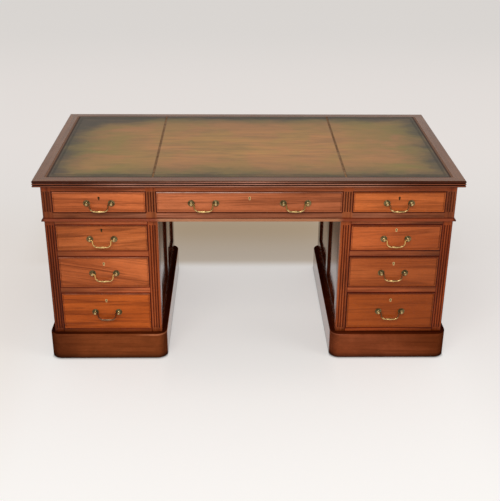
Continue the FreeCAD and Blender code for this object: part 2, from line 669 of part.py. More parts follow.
def make_pedestals():
    holes = dowels(DOWEL_CLEARANCE)
    rows = (("upper", upper_bottom, upper_top, KEY_DROP_UPPER),
            ("middle", middle_bottom, middle_top, KEY_DROP_MIDDLE),
            ("lower", lower_bottom, lower_top, KEY_DROP_LOWER))
    bands = ((upper_top, frieze_bottom), (middle_top, upper_bottom), (lower_top, middle_bottom))
    rails = []
    for low, high in bands + ((lower_bottom - BOTTOM_RAIL, lower_bottom),):
        rails.append(cut_all(front_rail(opening_inner, opening_outer, pedestal_front, low, high), holes))
    stiles = []
    for x0, x1 in ((pedestal_inner, opening_inner), (opening_outer, pedestal_outer)):
        stile = box(x0, x1, pedestal_front, pedestal_front + POST_DEPTH, GLIDE_HEIGHT, frieze_bottom)
        grooves = flutes((x0 + x1) / 2, pedestal_front, lower_bottom, upper_top)
        stiles.append(cut_all(stile, rails + grooves))
    frames, panels = pedestal_frames()
    frames = [cut_all(frame, holes) for frame in frames]
    plinth = pedestal_plinth()
    sets = (("stiles", stiles), ("drawer_rails", rails), ("frames", frames), ("panels", panels),
            ("plinth", plinth))
    for name, shapes in sets:
        export("right_" + name, shapes)
        export("left_" + name, mirrored(shapes))
    wall_in = pedestal_inner + FRAME_THICKNESS
    wall_out = pedestal_outer - FRAME_THICKNESS
    inside_back = pedestal_half_depth - FRAME_THICKNESS
    rail_back = pedestal_front + RAIL_DEPTH
    top = box(wall_in, wall_out, rail_back, inside_back, frieze_bottom - BOARD_THICKNESS, frieze_bottom)
    base_high = lower_bottom - BOTTOM_RAIL
    base = box(wall_in, wall_out, pedestal_front + POST_DEPTH, inside_back,
               base_high - BOTTOM_BOARD_THICKNESS, base_high)
    boards = [top, base]
    export("pedestal_boards", boards + mirrored(boards))
    runners = []
    for name, low, high, key_drop in rows:
        runners.extend(drawer_support(wall_in, 1, opening_inner, rail_back, inside_back, low))
        runners.extend(drawer_support(wall_out, -1, opening_outer, rail_back, inside_back, low))
        runners.extend(drawer_stops(opening_inner, opening_outer, pedestal_front, low))
        middle = (opening_inner + opening_outer) / 2
        make_drawer("right_" + name, opening_inner, opening_outer, low, high, pedestal_front, key_drop,
                    [("", middle)])
        make_drawer("left_" + name, -opening_outer, -opening_inner, low, high, pedestal_front, key_drop,
                    [("", -middle)])
    export("pedestal_runners", runners + mirrored(runners))
    feet = []
    for x in (pedestal_inner + GLIDE_INSET_X, pedestal_outer - GLIDE_INSET_X):
        for y in (pedestal_front + GLIDE_INSET_Y, pedestal_half_depth - GLIDE_INSET_Y):
            feet.append(glide(x, y))
    export("glides", feet + mirrored(feet))
    export("locating_dowels", dowels(0))


rose_collar = (PIVOT_STANDOFF - BALL_RADIUS - ROSE_THICKNESS) / 3

os.makedirs("parts", exist_ok=True)
make_top()
make_frieze()
make_pedestals()
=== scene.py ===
"""Looks of a mahogany pedestal desk: polished wood, a worn leather writing top and old brass handles."""
import logging
import math
from dataclasses import dataclass
from enum import Enum
from typing import Any, Callable

import bmesh
import bpy
from mathutils import Matrix, Vector


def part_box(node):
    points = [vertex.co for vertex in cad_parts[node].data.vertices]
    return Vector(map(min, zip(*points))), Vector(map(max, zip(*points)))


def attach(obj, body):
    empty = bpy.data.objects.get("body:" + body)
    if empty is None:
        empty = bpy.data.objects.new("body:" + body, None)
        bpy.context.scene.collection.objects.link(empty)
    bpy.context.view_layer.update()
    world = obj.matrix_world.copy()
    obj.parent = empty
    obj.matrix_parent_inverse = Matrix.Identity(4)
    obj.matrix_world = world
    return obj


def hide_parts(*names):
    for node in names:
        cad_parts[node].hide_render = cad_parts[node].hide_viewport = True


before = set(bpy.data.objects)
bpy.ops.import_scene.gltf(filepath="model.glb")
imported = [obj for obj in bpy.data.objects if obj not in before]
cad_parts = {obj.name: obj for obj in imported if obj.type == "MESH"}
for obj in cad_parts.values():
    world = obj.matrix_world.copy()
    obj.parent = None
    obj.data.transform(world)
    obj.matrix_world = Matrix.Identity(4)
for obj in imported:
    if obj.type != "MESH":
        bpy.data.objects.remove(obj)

LOG = logging.getLogger("pedestal_desk")
Tone = tuple[int, int, int]
Span = tuple[float, float]
Gain = tuple[float, float, float]
Place = tuple[float, float, float]
Colour = tuple[float, float, float, float]
Tree, Node, Socket = bpy.types.NodeTree, bpy.types.Node, bpy.types.NodeSocket
Material, Thing, Mesh = bpy.types.Material, bpy.types.Object, bmesh.types.BMesh

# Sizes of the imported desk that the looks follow, in metres
TOP_HALF: Span = (0.800, 0.430)
TOP_HEIGHT = 0.765
LEATHER_HALF: Span = (0.760, 0.390)
LEATHER_JOINT_X = 0.36
PEDESTAL_X = 0.55975
PLINTH_HALF: Span = (0.23275, 0.4235)
PLINTH_CORNER = 0.042
FRIEZE_DRAWER_SPAN: Span = (0.6295, 0.716)
FLUTE_DEPTH = 0.0032
REED_PITCH = 0.0085
REED_DEPTH = 0.008
KEY_REACH = 0.012
BAIL_BAR = 0.009

WHITE: Colour = (1.0, 1.0, 1.0, 1.0)


def paint(tone: Tone, gain: float = 1.0) -> Colour:
    """Turns a tone as a screen shows it into the linear colour that a shader takes.

    Args:
        tone: Red, green and blue from 0 to 255.
        gain: Factor on the light that the colour gives back.

    Returns:
        Linear red, green and blue, and an alpha of 1.
    """
    parts = [c / 255 for c in tone]
    line = [c / 12.92 if c <= 0.04045 else ((c + 0.055) / 1.055) ** 2.4 for c in parts]
    return (line[0] * gain, line[1] * gain, line[2] * gain, 1.0)


class Lie(Enum):
    """The way that the grain runs in the boards of one node."""

    LENGTH = "along the desk"
    DEPTH = "front to back"
    HEIGHT = "upright"
    MITRED = "along each side of a mitred rectangle"
    FRAMED = "along the rails and stiles of a panelled frame"
    BOXED = "along the sides, and across the bottom and back, of a drawer"


class Coat(Enum):
    """Where a wood carries an extra coat of polish."""

    NOWHERE = "nowhere"
    FLAT = "on the flat above the reeds"
    SIDES = "on the faces to either side"


class Side(Enum):
    """The two pedestals, by the side that they stand on."""

    LEFT = "left"
    RIGHT = "right"


def summed(operation: str, swapped: bool = False) -> Callable[..., "Value"]:
    """Makes the method that writes one sum of a value.

    Args:
        operation: Name of the Math node's operation. The comparisons give 1 where they hold, else 0.
        swapped: Whether the other number comes first.

    Returns:
        The method.
    """
    def method(self: "Value", *others: Any) -> "Value":
        """Adds the Math node and gives its result."""
        return self.graph.maths(operation, *((*others, self) if swapped else (self, *others)))
    return method


class Value:
    """What one socket gives, with the sums and mixtures that the finishes write."""

    def __init__(self, graph: "Graph", socket: Socket) -> None:
        """Keeps the socket, and the graph that its sums go into."""
        self.graph, self.socket = graph, socket

    __add__ = summed("ADD")
    __sub__ = summed("SUBTRACT")
    __rsub__ = summed("SUBTRACT", swapped=True)
    __mul__ = summed("MULTIPLY")
    __pow__ = summed("POWER")
    __abs__ = summed("ABSOLUTE")
    __gt__ = summed("GREATER_THAN")
    __lt__ = summed("LESS_THAN")
    most = summed("MAXIMUM")

    def least(self, other: Any, soft: float = 0.0) -> "Value":
        """Gives the lesser of two, with a soft turn between them if soft is above 0."""
        return self.graph.maths("SMOOTH_MIN" if soft else "MINIMUM", self, other, soft)

    def ease(self, low: Any, high: Any, start: float = 0.0, end: float = 1.0) -> "Value":
        """Maps a range to another with a soft start and stop.

        Args:
            low: Value that gives start.
            high: Value that gives end.
            start: Result at low.
            end: Result at high.

        Returns:
            The mapped value.
        """
        made = self.graph.node("ShaderNodeMapRange", interpolation_type="SMOOTHSTEP")
        for socket, number in zip(made.inputs, (self, low, high, start, end)):
            self.graph.feed(socket, number)
        return Value(self.graph, made.outputs[0])

    def scaled(self, factors: Any) -> "Value":
        """Multiplies a colour or a place part by part, by one factor or by three."""
        return self.graph.vector("MULTIPLY", self, (factors,) * 3 if isinstance(factors, float) else factors)

    def covered(self, share: Any, other: Any) -> "Value":
        """Lays another colour over this one, as far as the share says."""
        return self.graph.blend(share, self, other)

    def gained(self, share: Any, gain: Any) -> "Value":
        """Brightens or darkens this colour, as far as the share says."""
        return self.covered(share, self.scaled(gain))

    def washed(self, share: Any, tone: Tone, gain: float = 1.0) -> "Value":
        """Lays a tone over this colour, as far as the share says."""
        return self.covered(share, paint(tone, gain))

    def parts(self) -> tuple["Value", ...]:
        """Takes a place apart into x, y and z."""
        made = self.graph.node("ShaderNodeSeparateXYZ")
        self.graph.feed(made.inputs[0], self)
        return tuple(Value(self.graph, out) for out in made.outputs)

    def noise(self, scale: float | Place, detail: float = 3.0, rough: float = 0.5, twist: float = 0.0) -> "Value":
        """Reads a Noise texture at this place.

        Args:
            scale: Its fineness, the same every way or along x, y and z.
            detail: Octaves.
            rough: Weight of the finer octaves.
            twist: Distortion.

        Returns:
            The noise value, around 0.5.
        """
        even = isinstance(scale, float)
        made = self.graph.node("ShaderNodeTexNoise")
        self.graph.feed_all(made, Vector=self if even else self.scaled(scale), Scale=scale if even else 1.0,
                            Detail=detail, Roughness=rough, Distortion=twist)
        return Value(self.graph, made.outputs[0])


class Graph:
    """A shader node tree, with short calls for the nodes that the finishes use."""

    def __init__(self, tree: Tree) -> None:
        """Keeps the tree that the calls add to."""
        self.tree = tree

    def node(self, kind: str, **fields: Any) -> Node:
        """Adds one node.

        Args:
            kind: Blender's name of the node type.
            fields: Settings of the node.

        Returns:
            The new node.
        """
        made = self.tree.nodes.new(kind)
        for name, value in fields.items():
            setattr(made, name, value)
        return made

    def feed(self, socket: Socket, value: Any) -> None:
        """Joins a value to a socket, or sets the socket's plain number or colour."""
        if isinstance(value, Value):
            self.tree.links.new(value.socket, socket)
        else:
            socket.default_value = value

    def feed_all(self, node: Node, **values: Any) -> Tree:
        """Feeds several inputs of a node.

        Args:
            node: The node.
            values: What each input takes, by its name with a low line for each space.

        Returns:
            The tree that the node is in.
        """
        for name, value in values.items():
            self.feed(node.inputs[name.replace("_", " ")], value)
        return self.tree

    def maths(self, operation: str, *values: Any) -> Value:
        """Adds a Math node.

        Args:
            operation: Name of the operation.
            values: Values or numbers, in order.

        Returns:
            The result.
        """
        made = self.node("ShaderNodeMath", operation=operation)
        for socket, value in zip(made.inputs, values):
            self.feed(socket, value)
        return Value(self, made.outputs[0])

    def vector(self, operation: str, first: Any, second: Any) -> Value:
        """Adds a Vector Math node for two places or colours, and gives its result."""
        made = self.node("ShaderNodeVectorMath", operation=operation)
        self.feed(made.inputs[0], first)
        self.feed(made.inputs[1], second)
        return Value(self, made.outputs[0])

    def blend(self, share: Any, first: Any, second: Any, kind: str = "RGBA") -> Value:
        """Mixes two colours or two places.

        Args:
            share: How much of the second one shows.
            first: Result at a share of 0.
            second: Result at a share of 1.
            kind: RGBA for colours, VECTOR for places.

        Returns:
            The mixture.
        """
        made = self.node("ShaderNodeMix", data_type=kind)
        start = {"RGBA": 6, "VECTOR": 4}[kind]
        for at, value in ((0, share), (start, first), (start + 1, second)):
            self.feed(made.inputs[at], value)
        return Value(self, made.outputs[start // 2 - 1])

    def joined(self, x: Any, y: Any, z: Any) -> Value:
        """Makes a place of three values."""
        made = self.node("ShaderNodeCombineXYZ")
        self.feed_all(made, X=x, Y=y, Z=z)
        return Value(self, made.outputs[0])

    def coords(self, kind: str) -> Value:
        """Gives one of the outputs of a Texture Coordinate node."""
        return Value(self, self.node("ShaderNodeTexCoord").outputs[kind])

    def use(self, group: Tree, **inputs: Any) -> dict[str, Value]:
        """Places a shared node group.

        Args:
            group: The group.
            inputs: Its inputs by name, with a low line for each space.

        Returns:
            Its outputs by name.
        """
        made = self.node("ShaderNodeGroup", node_tree=group)
        self.feed_all(made, **inputs)
        return {out.name: Value(self, out) for out in made.outputs}

    def seen_rays(self) -> Value:
        """Gives 1 for rays that show the room itself or its picture in a polish, 0 for light on the desk."""
        path = self.node("ShaderNodeLightPath").outputs
        camera, glossy, through = (Value(self, path[f"Is {kind} Ray"]) for kind in ("Camera", "Glossy", "Transmission"))
        return camera.most(glossy).most(through)

    def split(self, output: str, lit: Socket, seen: Socket) -> None:
        """Ends the tree with one shader for the light on the desk and one for what is seen.

        Args:
            output: Name of the output node.
            lit: Shader for the light that falls on the desk.
            seen: Shader for the rays that show it.
        """
        mixed = self.node("ShaderNodeMixShader")
        for socket, value in zip(mixed.inputs, (self.seen_rays(), Value(self, lit), Value(self, seen))):
            self.feed(socket, value)
        self.feed(self.tree.nodes[output].inputs["Surface"], Value(self, mixed.outputs[0]))


class Effects:
    """The shader node groups that the finishes share, each built once."""

    def __init__(self) -> None:
        """Builds every group."""
        self.grain = self.wood_grain()
        self.mitre = self.mitred_boards()
        self.framed = self.framed_boards()
        self.edges = self.edge_shade()
        self.rubbed = self.rub_wear()

    @staticmethod
    def group(name: str, inputs: dict[str, str | float],
              outputs: dict[str, str]) -> tuple[Graph, dict[str, Value], Node]:
        """Starts a node group with named sockets.

        Args:
            name: Name of the group.
            inputs: Name of each input, with its kind or, for a number, with its usual value.
            outputs: Name and kind of each output.

        Returns:
            The graph, the inputs by name and the node of the outputs.
        """
        tree = bpy.data.node_groups.new(name, "ShaderNodeTree")
        for label, kind in inputs.items():
            plain = isinstance(kind, float)
            socket = tree.interface.new_socket(name=label, in_out="INPUT",
                                               socket_type="NodeSocketFloat" if plain else "NodeSocket" + kind)
            if plain:
                socket.default_value = kind
        for label, kind in outputs.items():
            tree.interface.new_socket(name=label, in_out="OUTPUT", socket_type="NodeSocket" + kind)
        graph = Graph(tree)
        given = {out.name: Value(graph, out) for out in graph.node("NodeGroupInput").outputs if out.name}
        return graph, given, graph.node("NodeGroupOutput")

    def wood_grain(self) -> Tree:
        """Gives the streaks, broad bands and short pores of a board whose grain runs along x."""
        graph, given, out = self.group(
            "wood_grain",
            {"Vector": "Vector", "Light": "Color", "Middle": "Color", "Dark": "Color", "Streak": 1.0, "Pores": 0.5},
            {"Color": "Color", "Height": "Float", "Gloss": "Float"})
        place, dark, streak = given["Vector"], given["Dark"], given["Streak"]
        broad = place.noise((1.1, 11.0, 11.0), 2.0, 0.5, 0.7)
        bands = place.noise((2.2, 55.0, 55.0), 4.0, 0.6, 0.9)
        fine = place.noise((7.0, 330.0, 330.0), 3.0, 0.6)
        flecks = place.noise((45.0, 1300.0, 1300.0), 2.0, 0.5)
        lines = fine * 0.35 + bands * 0.65
        pored = flecks.ease(0.56, 0.68) * given["Pores"]
        shade = graph.blend(broad.ease(0.42, 0.68) * streak, given["Middle"], given["Light"])
        shade = shade.covered(lines.ease(0.56, 0.36) * streak, dark).covered(pored * 0.55, dark.scaled(0.45))
        return graph.feed_all(out, Color=shade, Height=fine * 0.3 - pored, Gloss=bands * 0.5 + pored * 0.5)

    def mitred_boards(self) -> Tree:
        """Turns the grain along each side of a mitred rectangle, and marks the mitres."""
        graph, given, out = self.group(
            "mitred_boards", {"Vector": "Vector", "Middle X": 0.0, "Half Length": 1.0, "Half Depth": 1.0},
            {"Vector": "Vector", "Joint": "Float"})
        x, y, z = given["Vector"].parts()
        end_gap = given["Half Length"] - abs(abs(x) - given["Middle X"])
        lead = given["Half Depth"] - abs(y) - end_gap
        turned = graph.joined(y + 3.0, x, z)
        return graph.feed_all(out, Vector=graph.blend(lead > 0.0, given["Vector"], turned, "VECTOR"),
                              Joint=abs(lead).ease(0.0009, 0.0002))

    def framed_boards(self) -> Tree:
        """Turns the grain along the rails and stiles of the panelled frames, and marks their joints."""
        graph, given, out = self.group(
            "framed_boards",
            {"Vector": "Vector", "Stile Line": 0.3355, "Middle X": PEDESTAL_X, "Back Line": 0.15675,
             "Back Face": 0.3818, "Low Sight": 0.171, "High Sight": 0.544},
            {"Vector": "Vector", "Joint": "Float"})
        x, y, z = given["Vector"].parts()
        at_back = y > given["Back Face"]
        side_lead = given["Stile Line"] - abs(y)
        back_lead = given["Back Line"] - abs(abs(x) - given["Middle X"])
        lead = (back_lead - side_lead) * at_back + side_lead
        beyond = (z < given["Low Sight"]).most(z > given["High Sight"])
        across = graph.blend(at_back, graph.joined(y + 2.0, x, z), given["Vector"], "VECTOR")
        upright = graph.joined(z, x, y)
        return graph.feed_all(out, Vector=graph.blend((lead > 0.0) * beyond, upright, across, "VECTOR"),
                              Joint=abs(lead).ease(0.0010, 0.0003) * beyond)

    def edge_shade(self) -> Tree:
        """Marks where a drawer front gets painted light and shade: a shaded band along the edges of an upright
        rectangle, the bead, its dark quirk and cheek, and the crest of the top bead.
        """
        graph, given, out = self.group(
            "edge_shade",
            {"Vector": "Vector", "Middle": "Vector", "Half": "Vector", "Reach": 0.016, "Bead": 0.005, "Groove": 0.0014},
            {"Mask": "Float", "Bead": "Float", "Quirk": "Float", "Cheek": "Float", "Crest": "Float"})
        place, bead = given["Vector"], given["Bead"]
        x, _, z = graph.vector("SUBTRACT", place, given["Middle"]).parts()
        half_x, _, half_z = given["Half"].parts()
        gap_x, gap_z, top_gap = half_x - abs(x), half_z - abs(z), half_z - z
        near = gap_x.least(gap_z)
        inner = bead + given["Groove"]
        # The bead is marked to be laid darker, except along the bottom; Quirk and Cheek mark lines of painted shadow.
        shaded = (half_z + z > inner) * ((gap_x > gap_z) * 0.75 + 0.25)
        quirk = (near > bead - 0.0006) * (near < inner)
        # Crest: the top of the bead, for a painted tone that a noise breaks up; a highlight on most drawers, shade on
        # the darker ones.
        ridge = top_gap.ease(0.0018, 0.0024) * top_gap.ease(0.0046, 0.0040)
        shine = place.noise(9.0, 3.0, 0.6).ease(0.38, 0.62)
        # Mask: a band of painted shade along the edges, made uneven by a noise.
        patch = (place.noise(26.0, 3.0, 0.6) - 0.5) * 0.02
        gap = (gap_x + 0.010).least(gap_z, 0.02) - patch
        return graph.feed_all(out, Mask=gap.ease(given["Reach"], 0.0), Bead=(near < bead) * shaded,
                              Quirk=quirk * shaded, Cheek=near.ease(0.0020, 0.0012),
                              Crest=(top_gap < bead) * ridge * (shine * 0.6 + 0.4))

    def rub_wear(self) -> Tree:
        """Gives the cloudy patches and thin scratches that dull or brighten a polish."""
        graph, given, out = self.group("rub_wear", {"Vector": "Vector", "Fineness": 1.0},
                                       {"Cloud": "Float", "Scratch": "Float"})
        place = given["Vector"].scaled(graph.joined(*[given["Fineness"]] * 3))
        slant = graph.node("ShaderNodeMapping")
        graph.feed_all(slant, Vector=place, Rotation=(0.5, 0.35, 0.6), Scale=(6.0, 240.0, 240.0))
        thin = Value(graph, slant.outputs[0]).noise(1.0, 1.0, 0.4)
        rare = place.noise(5.0, 2.0, 0.5)
        return graph.feed_all(out, Cloud=place.noise(7.0, 5.0, 0.62, 0.4).ease(0.34, 0.66),
                              Scratch=thin.ease(0.68, 0.76) * rare.ease(0.52, 0.68))


@dataclass(frozen=True)
class Fade:
    """A painted brightening or darkening that eases in from one place to another, standing in for light and shade."""

    start: float
    stop: float
    gain: Gain

    def over(self, colour: Value, along: Value, within: Any = None) -> Value:
        """Lays the fade over a colour.

        Args:
            colour: The colour.
            along: Place that the fade follows.
            within: Mask that holds the fade in, if any.

        Returns:
            The faded colour.
        """
        mask = along.ease(self.start, self.stop)
        return colour.gained(mask if within is None else mask * within, self.gain)


@dataclass(frozen=True)
class Finish:
    """What every finish has: a name, and the shader that its material starts from."""

    name: str

    def make(self, effects: Effects) -> Material:
        """Builds the material.

        Args:
            effects: The shared groups.

        Returns:
            The material.
        """
        material = bpy.data.materials.new(self.name)
        material.use_nodes = True
        graph = Graph(material.node_tree)
        self.fill(effects, graph, material.node_tree.nodes["Principled BSDF"], graph.coords("Object"))
        return material

    def fill(self, effects: Effects, graph: Graph, shader: Node, place: Value) -> None:
        """Feeds the shader, in each finish's own way.

        Args:
            effects: The shared groups.
            graph: The material's graph.
            shader: Its shader.
            place: Object coordinates.
        """
        raise NotImplementedError

    @staticmethod
    def relief(shader: Node, height: Value, depth: float, strength: float) -> None:
        """Puts a bump on the shader.

        Args:
            shader: The shader.
            height: Height that the bump follows.
            depth: Distance that a height of 1 stands for, in metres.
            strength: Strength of the bump.
        """
        bump = height.graph.node("ShaderNodeBump")
        height.graph.feed_all(bump, Strength=strength, Distance=depth, Height=height)
        height.graph.feed(shader.inputs["Normal"], Value(height.graph, bump.outputs[0]))


@dataclass(frozen=True)
class WoodFinish(Finish):
    """A wood with its grain, polish and wear, and the light and shade painted into its colour."""

    tone: Tone
    lie: Lie
    light: float = 1.40
    dark: float = 0.48
    streak: float = 0.95
    pores: float = 0.6
    rough: Span = (0.22, 0.40)
    gloss: float = 0.13
    coat: Coat = Coat.NOWHERE
    coat_weight: float = 0.55
    coat_fade: Span | None = None
    bump: float = 0.3
    shift: Place = (0.0, 0.0, 0.0)
    mitre: Place = (0.0, 1.0, 1.0)
    field_middle: Place | None = None
    field_half: Place = (1.0, 1.0, 1.0)
    # bead_gain, crest, quirk and crest_fade serve a drawer front: a darker bead, a painted tone on its crest (a
    # highlight on most drawers, shade on the darker ones), and painted shadow in its quirk.
    bead_gain: float = 0.68
    crest: Tone = (190, 110, 78)
    mottle: float = 0.22
    slope: float = 0.0
    # lips, lip_width, lip_gain and lip_span: lines of painted shade along the drawer openings.
    lips: tuple[float, ...] = ()
    lip_width: float = 0.0026
    lip_gain: Gain = (0.36, 0.18, 0.09)
    lip_span: Span | None = None
    quirk: float = 0.0014
    across: Span | None = None
    crest_fade: Span | None = None
    # outward, upward, corner and glint: fades of painted light and shade.
    outward: tuple[Fade, ...] = ()
    upward: tuple[Fade, ...] = ()
    corner: Fade | None = None
    glint: Fade | None = None
    glint_rows: Span = (0.0, 0.0)
    fade_front: float | None = None
    # face_line, reed_line and recess_gain: painted shade in the flutes and between the reeds, with painted highlights
    # on the reeds' crests.
    face_line: float | None = None
    reed_line: float | None = None
    recess_gain: Gain = (0.36, 0.25, 0.21)

    def lay(self, effects: Effects, place: Value) -> tuple[Value, Value | None]:
        """Turns the coordinates so that the grain runs along x.

        Args:
            effects: The shared groups.
            place: Object coordinates.

        Returns:
            The turned coordinates, and a mask of the joints or None.
        """
        graph = place.graph
        if self.lie is Lie.MITRED:
            middle, length, depth = self.mitre
            boards = graph.use(effects.mitre, Vector=place, Middle_X=middle, Half_Length=length, Half_Depth=depth)
            return boards["Vector"], boards["Joint"]
        if self.lie is Lie.FRAMED:
            boards = graph.use(effects.framed, Vector=place)
            return boards["Vector"], boards["Joint"]
        x, y, z = place.parts()
        if self.lie is Lie.HEIGHT:
            return graph.joined(z, x, y), None
        if self.lie is Lie.LENGTH:
            return graph.joined(x, y, x * self.slope + z), None
        deep = graph.joined(y, x, z)
        if self.lie is Lie.BOXED:
            return graph.blend(self.sideways(place, 0.5), place, deep, "VECTOR"), None
        return deep, None

    @staticmethod
    def sideways(place: Value, share: float) -> Value:
        """Marks the faces that look to either side, by the least share of their normal along x."""
        return abs(place.graph.coords("Normal").parts()[0]) > share

    def mouth(self, place: Value) -> Value:
        """Marks the lips of the boards along the drawer openings, for lines of painted shade along each gap.

        Args:
            place: Object coordinates.

        Returns:
            The mask: at heights for level boards, at distances from the middle for upright ones.
        """
        x, _, z = place.parts()
        along = abs(x) if self.lie is Lie.HEIGHT else z
        masks = [abs(along - line).ease(self.lip_width, self.lip_width * 0.6) for line in self.lips]
        mask = masks[0]
        for more in masks[1:]:
            mask = mask.most(more)
        if self.lip_span is not None:
            mask = mask * (z > self.lip_span[0]) * (z < self.lip_span[1])
        return mask

    def recess(self, place: Value, colour: Value) -> Value:
        """Paints shade into what lies just behind the front face, as in a flute, or inside the rim, as between reeds.

        Args:
            place: Object coordinates.
            colour: The colour.

        Returns:
            The colour with painted shade in its recesses, and with painted highlights on the reeds' crests.
        """
        x, y, z = place.parts()
        if self.face_line is not None:
            behind = y - self.face_line
            return colour.gained(behind.ease(0.0005, 0.0019) * (behind < FLUTE_DEPTH), self.recess_gain)
        if self.reed_line is None:
            return colour
        gap = (self.mitre[1] - abs(x)).least(self.mitre[2] - abs(y))
        below = z < self.reed_line
        second = self.reed_line - REED_PITCH
        # Painted highlight on the reeds' crests, except on the upper reed towards the ends, which gets painted shade;
        # painted shade in the grooves.
        upper_shaded = (z > second) * abs(x).ease(0.10, 0.45)
        crest = gap.ease(0.0006, 0.0001) * (1.0 - upper_shaded)
        shaded = z.ease(second, self.reed_line - 0.0015, 0.6, 0.0) * upper_shaded
        deep = (gap.ease(0.0003, 0.0013) * (gap < REED_DEPTH)).most(shaded)
        return colour.gained(crest * below, (3.1, 3.8, 4.9)).gained(deep * below, self.recess_gain)

    def faded(self, place: Value, colour: Value) -> Value:
        """Lays the fades of painted light and shade over a colour: by height, away from the desk's middle, at rounded
        corners, and a painted glint on a rim.

        Args:
            place: Object coordinates.
            colour: The colour.

        Returns:
            The colour with its painted light and shade.
        """
        x, y, z = place.parts()
        off = abs(x)
        for fade in self.upward:
            colour = fade.over(colour, z)
        within = None
        if self.reed_line is not None:
            within = z < self.reed_line
        elif self.fade_front is not None:
            within = y < self.fade_front
        for fade in self.outward:
            colour = fade.over(colour, off, within)
        # Painted shade on the rounded corners, as they turn from the light.
        if self.corner is not None:
            from_middle = abs(off - self.mitre[0])
            flat = from_middle.ease(self.mitre[1] - 0.003, self.mitre[1] - 0.0003, 1.0, 0.0)
            colour = self.corner.over(colour, from_middle, flat)
        # A painted highlight along the rim.
        if self.glint is not None:
            low, high = self.glint_rows
            rows = z.ease(low, low + 0.0015) * z.ease(high, high - 0.0015)
            colour = self.glint.over(colour, off, rows)
        return colour

    def tinted(self, gain: float, green_gain: float, blue_gain: float) -> Colour:
        """Gives the wood's tone lighter or darker, and paler or redder.

        Args:
            gain: Factor on the whole tone.
            green_gain: Further factor on green.
            blue_gain: Further factor on blue.

        Returns:
            The linear colour.
        """
        red, green, blue, alpha = paint(self.tone, gain)
        return (red, green * green_gain, blue * blue_gain, alpha)

    def coated(self, place: Value) -> Value:
        """Gives the weight of the extra coat.

        Args:
            place: Object coordinates.

        Returns:
            The weight where the wood is coated, 0 elsewhere.
        """
        height = place.parts()[2]
        marked = height > self.reed_line if self.coat is Coat.FLAT else self.sideways(place, 0.97)
        if self.coat_fade is not None:
            marked = marked * height.ease(*self.coat_fade, 1.0, 0.4)
        return marked * self.coat_weight

    def beaded(self, place: Value, colour: Value, edge: dict[str, Value]) -> Value:
        """Paints shade on a drawer front along its edges, and draws its darker bead with a painted tone on its crest
        and painted shadow lines in the quirk and at the cheek.

        Args:
            place: Object coordinates.
            colour: The colour.
            edge: Masks along the edges.

        Returns:
            The colour with the bead and its painted light and shade.
        """
        crest = edge["Crest"]
        if self.crest_fade is not None:
            crest = crest * place.parts()[0].ease(*self.crest_fade, 1.0, 0.12)
        # Painted shade along the edges, the darker bead, the crest's painted tone, and painted shadow at the cheek and
        # in the quirk.
        colour = colour.washed(edge["Mask"] * 0.8, self.tone, 0.72).gained(edge["Bead"], self.bead_gain)
        colour = colour.washed(crest, self.crest).covered(edge["Cheek"], self.tinted(0.22, 0.55, 0.35))
        return colour.covered(edge["Quirk"] * 0.85, self.tinted(0.24, 0.55, 0.35))

    def fill(self, effects: Effects, graph: Graph, shader: Node, place: Value) -> None:
        """Feeds the shader with the wood's grain, polish and wear, and its painted light and shade."""
        turned, joint = self.lay(effects, place)
        grain = graph.use(effects.grain, Vector=graph.vector("ADD", turned, self.shift), Middle=paint(self.tone),
                          Light=self.tinted(self.light, 1.12, 1.3), Dark=self.tinted(self.dark, 0.9, 0.78),
                          Streak=self.streak, Pores=self.pores)
        wear = graph.use(effects.rubbed, Vector=place)
        colour = grain["Color"].washed(wear["Cloud"] * self.mottle, self.tone, 0.55)
        if self.across is not None:
            start, stop = (self.field_middle[0] + side * self.field_half[0] for side in (-1.0, 1.0))
            gain = place.parts()[0].ease(start, stop, *self.across)
            colour = colour.scaled(graph.joined(gain, gain ** 1.2, gain ** 1.4))
        sheen = (grain["Gloss"] * 0.5 + wear["Cloud"] * 0.5).ease(0.1, 0.8, *self.rough)
        if self.field_middle is not None:
            edge = graph.use(effects.edges, Vector=place, Middle=self.field_middle, Half=self.field_half,
                             Groove=self.quirk)
            colour = self.beaded(place, colour, edge)
            sheen = sheen - edge["Bead"] * 0.12
        # Painted shade and highlights in the recesses, lines of painted shade along the drawer openings, and the fades
        # of painted light and shade.
        colour = self.recess(place, colour)
        if self.lips:
            colour = colour.gained(self.mouth(place), self.lip_gain)
        colour = self.faded(place, colour)
        if joint is not None:
            colour = colour.washed(joint * 0.75, self.tone, 0.12)
        colour = colour.washed(wear["Scratch"] * 0.25, self.tone, 1.7)
        graph.feed_all(shader, Base_Color=colour, Roughness=sheen, Specular_IOR_Level=self.gloss)
        if self.coat is not Coat.NOWHERE:
            graph.feed_all(shader, Coat_Weight=self.coated(place), Coat_Roughness=self.rough[0])
        self.relief(shader, grain["Height"] - wear["Scratch"], 0.0003, self.bump)


def bare_wood(name: str, tone: Tone, lie: Lie, light: float = 1.15, dark: float = 0.72,
              rough: Span = (0.55, 0.72), pores: float = 0.6) -> WoodFinish:
    """Gives an unpolished wood, as it is used inside the desk.

    Args:
        name: Name of the finish.
        tone: Its tone.
        lie: The way of its grain.
        light: Factor on the tone in the light bands.
        dark: Factor on the tone in the dark streaks.
        rough: Least and greatest roughness.
        pores: How much the pores show.

    Returns:
        The finish.
    """
    return WoodFinish(name, tone, lie, light, dark, pores=pores, rough=rough, gloss=0.2)


